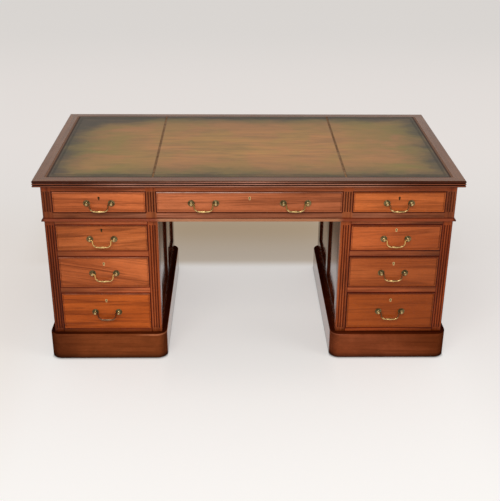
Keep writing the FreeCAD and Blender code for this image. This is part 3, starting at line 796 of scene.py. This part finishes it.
@dataclass(frozen=True)
class BrassFinish(Finish):
    """Old brass that is bright where it is rubbed and brown where it is not."""

    bright: Tone
    tarnished: Tone
    rough: Span = (0.22, 0.48)
    plate_line: float | None = None
    key_x: float = 0.0
    dull_key: bool = False
    bar_top: float | None = None
    leg: Tone = (190, 150, 86)
    tarnish: float = 0.5

    def fill(self, effects: Effects, graph: Graph, shader: Node, place: Value) -> None:
        """Feeds the shader with the brass, its tarnish and its wear."""
        x, y, z = place.parts()
        wear = graph.use(effects.rubbed, Vector=place, Fineness=6.0)
        spots = place.noise(420.0, 4.0, 0.6).ease(0.40, 0.66)
        amount = wear["Cloud"].most(spots) * self.tarnish
        if self.plate_line is not None:
            plate = y.ease(self.plate_line - 0.0012, self.plate_line + 0.0004)
            beside_key = abs(abs(x) - self.key_x) > KEY_REACH
            amount = (plate * 0.6 + amount).least(1.0)
            amount = amount.most(1.0 - beside_key) if self.dull_key else amount * (beside_key * 0.9 + 0.1)
        colour = graph.blend(amount, paint(self.bright), paint(self.tarnished))
        # The legs above the bar take a tone of their own, set for each drawer.
        if self.bar_top is not None:
            colour = colour.washed(z.ease(self.bar_top - 0.001, self.bar_top + 0.008, 0.0, 0.9), self.leg)
        graph.feed_all(shader, Base_Color=colour, Metallic=amount.ease(0.0, 1.0, 1.0, 0.75),
                       Roughness=amount.ease(0.0, 1.0, *self.rough))
        self.relief(shader, place.noise(700.0, 3.0, 0.6) - wear["Scratch"], 0.0002, 0.25)


@dataclass(frozen=True)
class IronFinish(Finish):
    """Dark cast iron with a grainy skin."""

    tone: Tone

    def fill(self, effects: Effects, graph: Graph, shader: Node, place: Value) -> None:
        """Feeds the shader with the iron and its skin."""
        wear = graph.use(effects.rubbed, Vector=place, Fineness=8.0)
        skin = place.noise(600.0, 4.0, 0.6)
        graph.feed_all(shader, Base_Color=graph.blend(wear["Cloud"], paint(self.tone), paint(self.tone, 1.9)),
                       Roughness=skin.ease(0.3, 0.7, 0.42, 0.66), Metallic=0.7)
        self.relief(shader, skin, 0.0003, 0.5)


@dataclass(frozen=True)
class LeatherFinish(Finish):
    """Hide that has worn from green at its edges to tan where arms have lain."""

    tan: Tone = (165, 120, 72)
    ochre: Tone = (189, 136, 77)
    olive: Tone = (124, 101, 62)
    moss: Tone = (135, 121, 60)
    green: Tone = (74, 66, 52)
    # The next two tones: painted shade along the border and along the joints between the skins, and a brown band at the
    # left and right ends.
    seam_shade: Tone = (58, 32, 18)
    brim_brown: Tone = (109, 66, 32)
    tool_middle: float = 0.025

    @staticmethod
    def inset(x: Value, y: Value, cloud: Value, mottle: Value) -> Value:
        """Gives how far inside the worn field a place lies.

        Args:
            x: Place along the desk.
            y: Place from front to back.
            cloud: Broad noise.
            mottle: Finer noise.

        Returns:
            The distance in metres, with an uneven edge.
        """
        length, depth = LEATHER_HALF
        back_gap = (depth - 0.012) - y
        front_gap = y + x.ease(0.0, 0.5, depth + 0.016, depth - 0.004)
        soft = ((length - abs(x)) * 0.68).least(back_gap.least(front_gap), 0.05)
        far_left = x.ease(-LEATHER_JOINT_X, -0.60) * y.ease(0.15, 0.34)
        return (mottle - 0.5) * 0.07 + ((cloud - 0.5) * 0.16 + (far_left * -0.065 + soft))

    def worn(self, place: Value, cloud: Value) -> Value:
        """Gives the colour of the hide itself.

        Args:
            place: Object coordinates.
            cloud: Broad noise.

        Returns:
            The colour, from green at the edges to tan and ochre inside.
        """
        graph = place.graph
        x, y, _ = place.parts()
        streaks = place.noise((4.0, 30.0, 1.0), 4.0, 0.6, 0.5)
        mottle = place.noise((14.0, 26.0, 1.0), 5.0, 0.65, 0.3)
        depth = self.inset(x, y, cloud, mottle)
        colour = graph.blend(depth.ease(0.0, 0.07), paint(self.green), paint(self.olive))
        colour = colour.washed(depth.ease(0.04, 0.15), self.tan)
        colour = colour.washed(depth.ease(0.12, 0.3) * streaks.ease(0.30, 0.78), self.ochre)
        colour = colour.washed(streaks.ease(0.54, 0.34) * mottle.ease(0.6, 0.4) * 0.32, self.olive)
        mossy = abs(x).ease(0.34, 0.62) * cloud.ease(0.62, 0.44) * depth.ease(0.03, 0.11)
        colour = colour.washed(mossy * 0.62, self.moss)
        hue = place.noise((6.0, 6.5, 1.0), 3.0, 0.55, 0.4).ease(0.38, 0.62)
        colour = colour.scaled(graph.blend(hue, (0.95, 1.03, 0.96, 1.0), (1.06, 0.99, 1.06, 1.0)))
        hairs = place.noise((11.0, 130.0, 1.0), 3.0, 0.6, 0.3)
        colour = colour.gained(hairs.ease(0.62, 0.42, 0.0, 0.19), (0.72, 0.74, 0.70))
        return colour.gained(hairs.ease(0.48, 0.66, 0.0, 0.19), (1.22, 1.2, 1.14))

    def fill(self, effects: Effects, graph: Graph, shader: Node, place: Value) -> None:
        """Feeds the shader with the hide and its tooling, lines of painted shade along the border and the joints
        between the skins, and a brown band at the ends.
        """
        x, y, _ = place.parts()
        gap_x, gap_y = LEATHER_HALF[0] - abs(x), LEATHER_HALF[1] - abs(y)
        cloud = place.noise((2.6, 6.5, 1.0), 5.0, 0.6, 0.5)
        wear = graph.use(effects.rubbed, Vector=place, Fineness=1.6)
        tooled = abs(gap_x.least(gap_y) - self.tool_middle).ease(0.006, 0.0035)
        colour = self.worn(place, cloud).washed(tooled * 0.4, self.green, 0.35)
        colour = colour.washed(wear["Scratch"] * 0.5, self.green, 0.7)
        # rim and joint: lines of painted shade where the skin meets the border and along the joints between the skins;
        # brim: a brown band along the left and right ends.
        rim = gap_y.ease(0.0085, 0.0055).most(gap_x.ease(0.0165, 0.0125))
        brim = gap_x.ease(0.0085, 0.0065)
        joint = abs(abs(x) - LEATHER_JOINT_X).ease(0.0068, 0.0042, 0.0, 0.42)
        colour = colour.washed(rim, self.seam_shade).washed(brim, self.brim_brown).washed(joint, self.seam_shade)
        graph.feed_all(shader, Base_Color=colour, Roughness=wear["Cloud"].ease(0.0, 1.0, 0.38, 0.56),
                       Coat_Weight=(rim - brim) * -0.26 + 0.70, Coat_Roughness=0.46, Specular_IOR_Level=0.0)
        pebble = graph.node("ShaderNodeTexVoronoi", feature="DISTANCE_TO_EDGE")
        graph.feed_all(pebble, Vector=place, Scale=620.0)
        creased = Value(graph, pebble.outputs[0]).ease(0.0, 0.12)
        self.relief(shader, cloud * 2.0 + creased, 0.00025, 0.3)


class Wardrobe:
    """Makes each finish's material once and puts it on the nodes."""

    def __init__(self) -> None:
        """Builds the shared groups."""
        self.effects = Effects()
        self.made: dict[str, Material] = {}

    def material(self, finish: Any) -> Material:
        """Gives the material of a finish, made on first use."""
        if finish.name not in self.made:
            self.made[finish.name] = finish.make(self.effects)
        return self.made[finish.name]

    def dress(self, node: str, finish: Any) -> None:
        """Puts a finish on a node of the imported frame.

        Args:
            node: Name of the node.
            finish: Its finish.
        """
        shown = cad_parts[node]
        material = self.material(finish)
        if not shown.material_slots:
            shown.data.materials.append(material)
        for slot in shown.material_slots:
            slot.material = material
        LOG.info("dressed %s in %s", node, finish.name)


def placed(mesh: Mesh, name: str) -> Thing:
    """Turns a finished mesh into an object of the scene, and frees the mesh.

    Args:
        mesh: The mesh.
        name: Name of the object.

    Returns:
        The object.
    """
    data = bpy.data.meshes.new(name)
    mesh.to_mesh(data)
    mesh.free()
    made = bpy.data.objects.new(name, data)
    bpy.context.scene.collection.objects.link(made)
    LOG.info("built %s", name)
    return made


@dataclass
class Skin:
    """One leather skin of the writing top, let in flush with the border."""

    name: str
    left: float
    right: float
    front: float = -LEATHER_HALF[1]
    back: float = LEATHER_HALF[1]
    low: float = 0.7635
    high: float = TOP_HEIGHT
    outer_left: bool = False
    outer_right: bool = False
    tool_lines: Span = (0.022, 0.028)
    tool_width: float = 0.0016
    tool_depth: float = 0.0007
    roll: float = 0.0011

    def lines(self) -> list[tuple[int, float, Span]]:
        """Works out where the tooled lines run.

        Returns:
            Each line as an axis, its place on that axis and its span on the other one. The axis is 1 for
            the lines across the desk, which come first, and 0 for those from front to back.
        """
        across, along = [], []
        for inset in self.tool_lines:
            start = self.left + inset if self.outer_left else self.left
            stop = self.right - inset if self.outer_right else self.right
            span = (self.front + inset, self.back - inset)
            across += [(1, at, (start, stop)) for at in span]
            if self.outer_left:
                along.append((0, start, span))
            if self.outer_right:
                along.append((0, stop, span))
        return across + along

    @staticmethod
    def on_line(point: Vector, line: tuple[int, float, Span]) -> bool:
        """Tells whether a point lies on the middle of a tooled line.

        Args:
            point: The point.
            line: Axis, place and span of the line.

        Returns:
            True if it does.
        """
        near = 1e-5
        axis, at, span = line
        return abs(point[axis] - at) < near and span[0] - near < point[1 - axis] < span[1] + near

    def build(self) -> Thing:
        """Makes the skin: a thin slab with a rolled edge and pressed lines.

        Returns:
            The skin's object.
        """
        mesh = bmesh.new()
        size = (self.right - self.left, self.back - self.front, self.high - self.low)
        middle = ((self.left + self.right) / 2, (self.front + self.back) / 2, (self.low + self.high) / 2)
        bmesh.ops.create_cube(mesh, size=1.0, matrix=Matrix.Translation(middle) @ Matrix.Diagonal((*size, 1.0)))
        upper = self.high - 1e-5
        rim = [e for e in mesh.edges if all(v.co.z > upper for v in e.verts)]
        bmesh.ops.bevel(mesh, geom=rim, offset=self.roll, affect="EDGES", segments=3, profile=0.5, material=-1)
        lines = self.lines()
        half = self.tool_width / 2
        for axis, at, _ in lines:
            normal = Vector((1, 0, 0)) if axis == 0 else Vector((0, 1, 0))
            for step in (-half, 0.0, half):
                geometry = mesh.verts[:] + mesh.edges[:] + mesh.faces[:]
                bmesh.ops.bisect_plane(mesh, geom=geometry, dist=1e-7, plane_co=normal * (at + step), plane_no=normal)
        pressed = [v for v in mesh.verts if v.co.z > upper and any(self.on_line(v.co, line) for line in lines)]
        bmesh.ops.translate(mesh, verts=pressed, vec=(0, 0, -self.tool_depth))
        bmesh.ops.recalc_face_normals(mesh, faces=mesh.faces)
        return placed(mesh, self.name)

    def dress(self, made: Thing, wardrobe: Wardrobe, finish: LeatherFinish) -> None:
        """Lays the skin on the ground of the top.

        Args:
            made: The skin's object.
            wardrobe: Gives the material.
            finish: The leather.
        """
        made.data.materials.append(wardrobe.material(finish))
        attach(made, "carcass")


@dataclass
class WritingTop:
    """The reeded and mitred border, the ground and the three skins of leather."""

    middle_half: float = 0.3565
    wing_start: float = 0.3635
    # The border: painted highlights on the reeds' crests, painted shade between them, on its front edge and towards the
    # ends of that edge.
    border: WoodFinish = WoodFinish(
        "polished_border", (119, 72, 42), Lie.MITRED, streak=0.7, mitre=(0.0, *TOP_HALF), rough=(0.22, 0.34),
        gloss=0.1, coat=Coat.FLAT, coat_weight=0.40, bump=0.15, reed_line=TOP_HEIGHT - 0.0005,
        recess_gain=(0.22, 0.10, 0.06), upward=(Fade(0.7647, 0.7640, (0.80, 0.77, 1.02)),),
        outward=(Fade(0.40, 0.66, (0.52, 0.33, 0.22)),))
    ground: WoodFinish = WoodFinish("pine_ground", (134, 96, 60), Lie.LENGTH, gloss=0.2, rough=(0.6, 0.75))
    leather: LeatherFinish = LeatherFinish("worn_leather")

    def build(self) -> list[tuple[Skin, Thing]]:
        """Makes the skins.

        Returns:
            Each skin with its object.
        """
        edge = LEATHER_HALF[0]
        skins = [Skin("leather_left", -edge, -self.wing_start, outer_left=True),
                 Skin("leather_middle", -self.middle_half, self.middle_half),
                 Skin("leather_right", self.wing_start, edge, outer_right=True)]
        return [(skin, skin.build()) for skin in skins]

    def dress(self, wardrobe: Wardrobe, skins: list[tuple[Skin, Thing]]) -> None:
        """Finishes the top.

        Args:
            wardrobe: Gives the materials.
            skins: The leather skins.
        """
        wardrobe.dress("top_border", self.border)
        wardrobe.dress("top_ground", self.ground)
        for skin, made in skins:
            skin.dress(made, wardrobe, self.leather)
            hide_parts("leather_panels")


@dataclass
class Frieze:
    """The frame that carries the top and holds the three upper drawers."""

    # The fades, lips and recesses below paint light and shade: shade in the flutes, along the drawer openings, low on
    # the posts and towards the ends; light on the top rail and on the bead over the kneehole.
    posts: WoodFinish = WoodFinish(
        "frieze_post_wood", (160, 84, 44), Lie.HEIGHT, face_line=-0.406, lips=(0.350, 0.387, 0.737),
        lip_span=FRIEZE_DRAWER_SPAN, fade_front=-0.4045,
        upward=(Fade(0.6105, 0.6085, (0.50, 0.30, 0.20)), Fade(0.716, 0.7175, (1.35, 1.10, 0.85))),
        outward=(Fade(0.45, 0.72, (0.70, 0.62, 0.60)), Fade(0.7715, 0.7745, (0.6, 0.55, 0.5))))
    rails: WoodFinish = WoodFinish(
        "frieze_rail_wood", (161, 93, 62), Lie.LENGTH, lips=(0.607, FRIEZE_DRAWER_SPAN[0]),
        upward=(Fade(0.716, 0.7175, (1.45, 1.15, 0.85)),), outward=(Fade(0.36, 0.66, (0.66, 0.53, 0.38)),))
    panels: WoodFinish = WoodFinish("frieze_panel_wood", (142, 66, 34), Lie.MITRED, mitre=(0.0, 0.775, 0.406))
    bead: WoodFinish = WoodFinish(
        "frieze_bead_wood", (140, 65, 35), Lie.MITRED, mitre=(0.0, 0.7815, 0.4125), streak=0.5, fade_front=-0.400,
        outward=(Fade(0.36, 0.33, (1.7, 3.4, 5.0)), Fade(0.766, 0.779, (0.30, 0.22, 0.18))))
    runners: WoodFinish = bare_wood("pine_runner", (150, 112, 72), Lie.DEPTH)

    def dress(self, wardrobe: Wardrobe) -> None:
        """Finishes the frieze with the wardrobe's materials."""
        for piece in ("posts", "rails", "panels", "bead", "runners"):
            wardrobe.dress("frieze_" + piece, getattr(self, piece))


@dataclass
class Drawer:
    """A drawer: its beaded front, oak box, brass and swinging bails."""

    name: str
    tone: Tone
    seed: float
    slope: float
    across: Span
    # crest and crest_fade: the painted tone on the top bead, a highlight on most drawers and shade on the darker ones,
    # faded along the drawer; bead_gain and quirk: a darker bead and its quirk of painted shadow.
    crest: Tone
    bails: tuple[str, ...] = ("_bail",)
    plate_line: float = -0.4071
    crest_fade: Span | None = None
    dull_key: bool = False
    leg: Tone = (210, 166, 96)
    bar: Tone = (240, 204, 136)
    bead_gain: float = 0.68
    quirk: float = 0.0014
    streak: float = 0.95
    lining: WoodFinish = bare_wood("oak_lining", (178, 140, 92), Lie.BOXED, 1.18, 0.70, (0.5, 0.68), 0.9)

    def front(self) -> WoodFinish:
        """Gives the finish of this drawer's own front, with painted shade along its edges and a painted tone on its top
        bead.

        Returns:
            The finish.
        """
        low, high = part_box(self.name + "_front")
        return WoodFinish(self.name + "_mahogany", self.tone, Lie.LENGTH, shift=(self.seed, 0.0, self.seed * 0.7),
                          field_middle=tuple((low + high) / 2), field_half=tuple((high - low) / 2), slope=self.slope,
                          crest=self.crest, across=self.across, crest_fade=self.crest_fade,
                          bead_gain=self.bead_gain, quirk=self.quirk, streak=self.streak)

    def brass(self) -> BrassFinish:
        """Gives the finish of the roses, posts, nuts and lock."""
        low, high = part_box(self.name + "_front")
        key_x = round(abs(low.x + high.x) / 2, 4)
        kind = "dull_key_brass" if self.dull_key else "handle_brass"
        return BrassFinish(f"{kind}_{round(key_x * 10000)}", (226, 200, 140), (80, 66, 34),
                           plate_line=self.plate_line, key_x=key_x, dull_key=self.dull_key)

    def dress(self, wardrobe: Wardrobe) -> None:
        """Finishes the drawer with the wardrobe's materials."""
        wardrobe.dress(self.name + "_front", self.front())
        wardrobe.dress(self.name + "_box", self.lining)
        wardrobe.dress(self.name + "_brass", self.brass())
        for bail in (self.name + end for end in self.bails):
            bar_top = round(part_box(bail)[0].z + BAIL_BAR, 4)
            wardrobe.dress(bail, BrassFinish(self.name + "_bail_brass", self.bar, (110, 82, 42), (0.16, 0.36),
                                             bar_top=bar_top, leg=self.leg, tarnish=0.4))


@dataclass
class Pedestal:
    """One pedestal: fluted stiles, drawer rails, panelled frames and a plinth."""

    side: Side
    rail_tone: Tone
    # rail_foot to plinth_glint and rail_end: painted light and shade for this side's rails, stiles and plinth.
    rail_foot: Gain
    rail_high: Gain
    stile_end: Gain
    lip_gain: Gain
    plinth_tone: Tone
    plinth_end: Fade
    plinth_lip: float
    plinth_glint: Fade
    rail_end: Gain = (0.56, 0.56, 0.50)
    rail_lips: tuple[float, ...] = (0.1275, 0.2892, 0.3122, 0.4468, 0.4698, 0.580, 0.5960)
    framing: WoodFinish = WoodFinish(
        "frame_wood", (92, 42, 24), Lie.FRAMED, rough=(0.12, 0.22), gloss=0.0, bump=0.06, coat=Coat.SIDES,
        coat_weight=0.9, coat_fade=(0.28, 0.50))
    panelling: WoodFinish = WoodFinish(
        "panel_wood", (112, 54, 30), Lie.HEIGHT, rough=(0.10, 0.20), gloss=0.0, bump=0.05, coat=Coat.SIDES,
        coat_weight=1.0, coat_fade=(0.28, 0.50))

    def stiles(self) -> WoodFinish:
        """Gives the finish of the fluted stiles."""
        # Painted shade: in the flutes, lines along the drawer openings, towards the foot, in the shadow under the
        # frieze bead and towards the outer ends.
        return WoodFinish(
            self.side.value + "_stile_wood", (168, 80, 36), Lie.HEIGHT, face_line=-0.4035, lips=(0.386, 0.7355),
            fade_front=-0.395, recess_gain=(0.40, 0.25, 0.16),
            upward=(Fade(0.152, 0.114, (0.55, 0.52, 0.50)), Fade(0.5930, 0.5945, (0.55, 0.38, 0.28))),
            outward=(Fade(0.55, 0.70, self.stile_end), Fade(0.7690, 0.7720, (0.55, 0.50, 0.45))))

    def rails(self) -> WoodFinish:
        """Gives the finish of the rails between the drawers."""
        # Painted shade: lines along the drawer openings, on the bottom rail, on the upper rails and towards the outer
        # ends.
        return WoodFinish(
            self.side.value + "_rail_wood", self.rail_tone, Lie.LENGTH, lips=self.rail_lips, lip_gain=self.lip_gain,
            upward=(Fade(0.1295, 0.124, self.rail_foot), Fade(0.38, 0.43, self.rail_high)),
            outward=(Fade(0.52, 0.74, self.rail_end),))

    def plinth(self) -> WoodFinish:
        """Gives the finish of the plinth."""
        # Painted shade on the plinth's flat top, towards its bottom, towards its ends and on its rounded corners, and a
        # painted glint along its rim.
        return WoodFinish(
            self.side.value + "_plinth_wood", self.plinth_tone, Lie.MITRED, mitre=(PEDESTAL_X, *PLINTH_HALF),
            rough=(0.08, 0.17), gloss=0.0, coat=Coat.SIDES, coat_weight=1.0, bump=0.04, streak=0.55, mottle=0.6,
            lips=(0.1145,), lip_width=self.plinth_lip, lip_gain=(0.30, 0.19, 0.13), fade_front=-0.30,
            upward=(Fade(0.028, 0.002, (0.30, 0.34, 0.42)),), outward=(self.plinth_end,),
            corner=Fade(0.196, 0.230, (0.55, 0.52, 0.55)), glint=self.plinth_glint, glint_rows=(0.1045, 0.1115))

    def dress(self, wardrobe: Wardrobe) -> None:
        """Finishes the pedestal with the wardrobe's materials."""
        for piece, finish in (("stiles", self.stiles()), ("drawer_rails", self.rails()), ("frames", self.framing),
                              ("panels", self.panelling), ("plinth", self.plinth())):
            wardrobe.dress(f"{self.side.value}_{piece}", finish)


@dataclass
class Underparts:
    """What lies inside and below: boards, runners, dowels and glides."""

    inside: WoodFinish = bare_wood("pine_board", (146, 108, 70), Lie.DEPTH)
    dowel: WoodFinish = bare_wood("beech_dowel", (176, 138, 96), Lie.HEIGHT, 1.1, 0.8, (0.5, 0.65))
    glide: IronFinish = IronFinish("glide_iron", (38, 34, 31))

    def dress(self, wardrobe: Wardrobe) -> None:
        """Finishes the hidden pieces with the wardrobe's materials."""
        wardrobe.dress("pedestal_boards", self.inside)
        wardrobe.dress("pedestal_runners", self.inside)
        wardrobe.dress("locating_dowels", self.dowel)
        wardrobe.dress("glides", self.glide)


@dataclass
class Studio:
    """The floor, the soft light and the camera."""

    place: Place = (-0.0578, -3.4454, 1.9076)
    pitch: float = 25.274
    yaw: float = 1.142
    roll: float = -0.420
    lens: float = 62.955
    sensor: float = 36.0
    floor_half: float = 40.0
    floor_lit: float = 0.67
    floor_glow: float = 0.44
    floor_near: Tone = (240, 238, 235)
    floor_far: Tone = (222, 216, 211)
    room_light: Colour = (1.0, 0.985, 0.965, 1.0)
    room_power: float = 0.5

    def camera(self) -> None:
        """Stands the camera where the photograph was taken from."""
        turns = ((-self.yaw, "Z"), (90.0 - self.pitch, "X"), (-self.roll, "Z"))
        turned, tipped, rolled = (Matrix.Rotation(math.radians(angle), 4, axis) for angle, axis in turns)
        data = bpy.data.cameras.new("photo_camera")
        data.lens = self.lens
        data.sensor_width = self.sensor
        made = bpy.data.objects.new("photo_camera", data)
        made.matrix_world = Matrix.Translation(self.place) @ turned @ tipped @ rolled
        bpy.context.scene.collection.objects.link(made)
        bpy.context.scene.camera = made

    def floor(self) -> None:
        """Lays the pale floor, greyer far behind the desk, with a painted shadow close behind it and painted light and
        shade around it.
        """
        mesh = bmesh.new()
        bmesh.ops.create_grid(mesh, x_segments=1, y_segments=1, size=self.floor_half)
        made = placed(mesh, "studio_floor")
        material = bpy.data.materials.new("studio_floor")
        material.use_nodes = True
        graph = Graph(material.node_tree)
        shader = material.node_tree.nodes["Principled BSDF"]
        x, y, _ = graph.coords("Object").parts()
        colour = graph.blend(y.ease(-1.6, 1.6), paint(self.floor_near), paint(self.floor_far))
        tint = self.tint(x, y)
        graph.feed_all(shader, Base_Color=colour, Roughness=0.9, Specular_IOR_Level=0.1)
        pale = graph.node("ShaderNodeBsdfDiffuse")
        graph.feed_all(pale, Color=colour.scaled(tint).scaled(self.floor_lit))
        glow = graph.node("ShaderNodeEmission")
        graph.feed_all(glow, Color=tint.scaled((1.0, 0.975, 0.955)), Strength=self.open_floor(x, y))
        both = graph.node("ShaderNodeAddShader")
        for socket, part in zip(both.inputs, (pale, glow)):
            graph.feed(socket, Value(graph, part.outputs[0]))
        graph.split("Material Output", shader.outputs[0], both.outputs[0])
        made.data.materials.append(material)

    @staticmethod
    def tint(x: Value, y: Value) -> Value:
        """Tints the floor with painted light and shade: brown in a painted shadow behind the kneehole, paler far behind
        and under it, dimmer beside it.

        Args:
            x: Place on the floor along the desk.
            y: Place on the floor from front to back.

        Returns:
            The factors on the floor's colour.
        """
        behind = y.ease(0.395, 0.49) * y.ease(2.1, 0.75) * abs(x).ease(1.2, 0.3) * y.ease(0.45, 0.95, 0.67, 1.0)
        tint = x.graph.blend(behind, WHITE, (0.545, 0.435, 0.30, 1.0))
        tint = tint.gained(y.ease(0.6, 2.6) * y.ease(6.4, 3.4), (1.065, 1.05, 1.05))
        nearby = y.ease(1.5, 0.5)
        tint = tint.gained(x.ease(0.75, 1.05) * nearby, (0.965, 0.955, 0.955))
        tint = tint.gained(x.ease(-0.75, -1.05) * nearby, (0.975, 0.95, 0.93))
        under = abs(x).ease(0.36, 0.30) * y.ease(0.55, 0.40) * y.ease(-0.75, -0.45)
        lift = y.ease(-0.40, 0.20, 0.965, 1.095)
        return tint.gained(under, x.graph.joined(lift, lift, lift))

    def open_floor(self, x: Value, y: Value) -> Value:
        """Dims the glow of the floor along the front of the plinths, as a painted contact shadow where they stand.

        Args:
            x: Place on the floor along the desk.
            y: Place on the floor from front to back.

        Returns:
            The strength of the glow.
        """
        width, depth = PLINTH_HALF
        off = abs(abs(x) - PEDESTAL_X)
        gap_x = (off - (width - PLINTH_CORNER)).most(0.0)
        gap_y = (abs(y) - (depth - PLINTH_CORNER)).most(0.0)
        inward = (y + (depth - 0.008)).most(0.0)
        from_plinth = (gap_x * gap_x + gap_y * gap_y) ** 0.5 - PLINTH_CORNER
        away = inward * (off > width) + from_plinth
        return away.ease(-0.004, 0.013, self.floor_glow * 0.1, self.floor_glow)

    def sky(self) -> None:
        """Sets the even light of the room, and the pale room that shows in a polish."""
        world = bpy.data.worlds.new("studio_room")
        bpy.context.scene.world = world
        world.use_nodes = True
        graph = Graph(world.node_tree)
        light = world.node_tree.nodes["Background"]
        graph.feed_all(light, Color=self.room_light, Strength=self.room_power)
        shown = graph.node("ShaderNodeBackground")
        front = graph.coords("Generated").parts()[1].ease(0.25, -0.35)
        mirrored = front * Value(graph, graph.node("ShaderNodeLightPath").outputs["Is Glossy Ray"])
        graph.feed_all(shown, Color=graph.blend(mirrored, paint((226, 220, 214)), paint((110, 104, 98))))
        graph.split("World Output", light.outputs[0], shown.outputs[0])

    @staticmethod
    def lamp(name: str, place: Place, aim: Place, size: Span, power: float) -> None:
        """Hangs one soft lamp.

        Args:
            name: Name of the lamp.
            place: Where it hangs.
            aim: What it points at.
            size: Width and height of its face.
            power: Watts.
        """
        data = bpy.data.lights.new(name, "AREA")
        data.shape = "RECTANGLE"
        data.size, data.size_y = size
        data.energy = power
        made = bpy.data.objects.new(name, data)
        made.location = place
        made.rotation_mode = "QUATERNION"
        made.rotation_quaternion = (Vector(aim) - Vector(place)).to_track_quat("-Z", "Y")
        bpy.context.scene.collection.objects.link(made)

    def build(self) -> None:
        """Sets up the whole studio."""
        self.camera()
        self.floor()
        self.sky()
        self.lamp("front_soft_lamp", (-0.7, -3.0, 3.3), (0.0, 0.0, 0.5), (2.6, 1.8), 62.0)
        self.lamp("right_soft_lamp", (3.2, -1.8, 2.4), (0.0, 0.0, 0.4), (1.6, 1.6), 26.0)
        bpy.context.scene.view_settings.view_transform = "Standard"


def drawers() -> list[Drawer]:
    """Lists the nine drawers with the tones of each.

    Returns:
        The drawers.
    """
    frieze = {"plate_line": -0.4096}
    # A darker bead, a wider quirk of painted shadow and fainter streaks.
    dark_bead = {"bead_gain": 0.45, "quirk": 0.003, "streak": 0.65}
    # The crest tones are painted highlights on the top bead of most drawers and painted shade on the darker ones.
    return [
        Drawer("frieze_left", (203, 105, 55), 10.4, 0.03, (0.87, 1.19), (225, 130, 88), **frieze,
               dull_key=True, leg=(84, 38, 16)),
        Drawer("frieze_centre", (203, 113, 69), 1.1, -0.02, (1.17, 0.74), (246, 204, 188), **frieze,
               bails=("_bail_left", "_bail_right"), crest_fade=(0.0, 0.24), leg=(128, 104, 54)),
        Drawer("frieze_right", (203, 104, 48), 2.2, 0.02, (1.08, 0.80), (140, 62, 24), **frieze,
               dull_key=True, leg=(118, 62, 30), bead_gain=0.5, streak=0.7),
        Drawer("left_upper", (190, 99, 48), 3.4, -0.06, (0.86, 1.15), (150, 78, 44), dull_key=True, quirk=0.0),
        Drawer("left_middle", (181, 90, 43), 4.7, 0.16, (0.90, 1.20), (206, 130, 98)),
        Drawer("left_lower", (185, 85, 27), 5.5, 0.0, (0.94, 1.08), (200, 122, 90), leg=(92, 38, 14),
               bar=(150, 116, 92)),
        Drawer("right_upper", (187, 92, 43), 6.6, -0.05, (1.28, 0.75), (128, 56, 24), bead_gain=0.5, quirk=0.003,
               streak=0.8),
        Drawer("right_middle", (169, 82, 36), 7.3, 0.02, (1.18, 0.86), (124, 54, 24), leg=(96, 46, 20), **dark_bead),
        Drawer("right_lower", (164, 76, 26), 8.9, -0.03, (1.14, 0.87), (120, 48, 22), leg=(84, 36, 14), **dark_bead),
    ]


def pedestals() -> list[Pedestal]:
    """Lists the two pedestals with the tones of each.

    Returns:
        The pedestals.
    """
    # The rail, stile, lip and plinth gains, fades and glints are painted light and shade for each side.
    return [
        Pedestal(Side.LEFT, (191, 97, 53), rail_foot=(0.46, 0.38, 0.29), rail_high=(0.91, 0.91, 0.91),
                 stile_end=(0.62, 0.54, 0.46), lip_gain=(0.55, 0.32, 0.20), plinth_tone=(142, 73, 38),
                 plinth_end=Fade(0.60, 0.775, (0.52, 0.50, 0.55)), plinth_lip=0.0030,
                 plinth_glint=Fade(0.47, 0.37, (2.2, 2.9, 4.2))),
        Pedestal(Side.RIGHT, (188, 95, 51), rail_foot=(0.94, 0.80, 0.69), rail_high=(0.64, 0.64, 0.66),
                 stile_end=(0.86, 0.74, 0.62), lip_gain=(0.42, 0.16, 0.06), plinth_tone=(150, 76, 44),
                 plinth_end=Fade(0.45, 0.775, (0.58, 0.53, 0.42)), plinth_lip=0.0070,
                 plinth_glint=Fade(0.42, 0.35, (1.5, 1.8, 2.4))),
    ]


def main() -> None:
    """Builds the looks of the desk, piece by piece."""
    logging.basicConfig(level=logging.INFO, format="%(name)s: %(message)s")
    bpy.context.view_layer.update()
    Studio().build()
    wardrobe = Wardrobe()
    top = WritingTop()
    top.dress(wardrobe, top.build())
    for part in (Frieze(), *drawers(), *pedestals(), Underparts()):
        part.dress(wardrobe)
    LOG.info("boxes written")


if __name__ == "__main__":
    main()
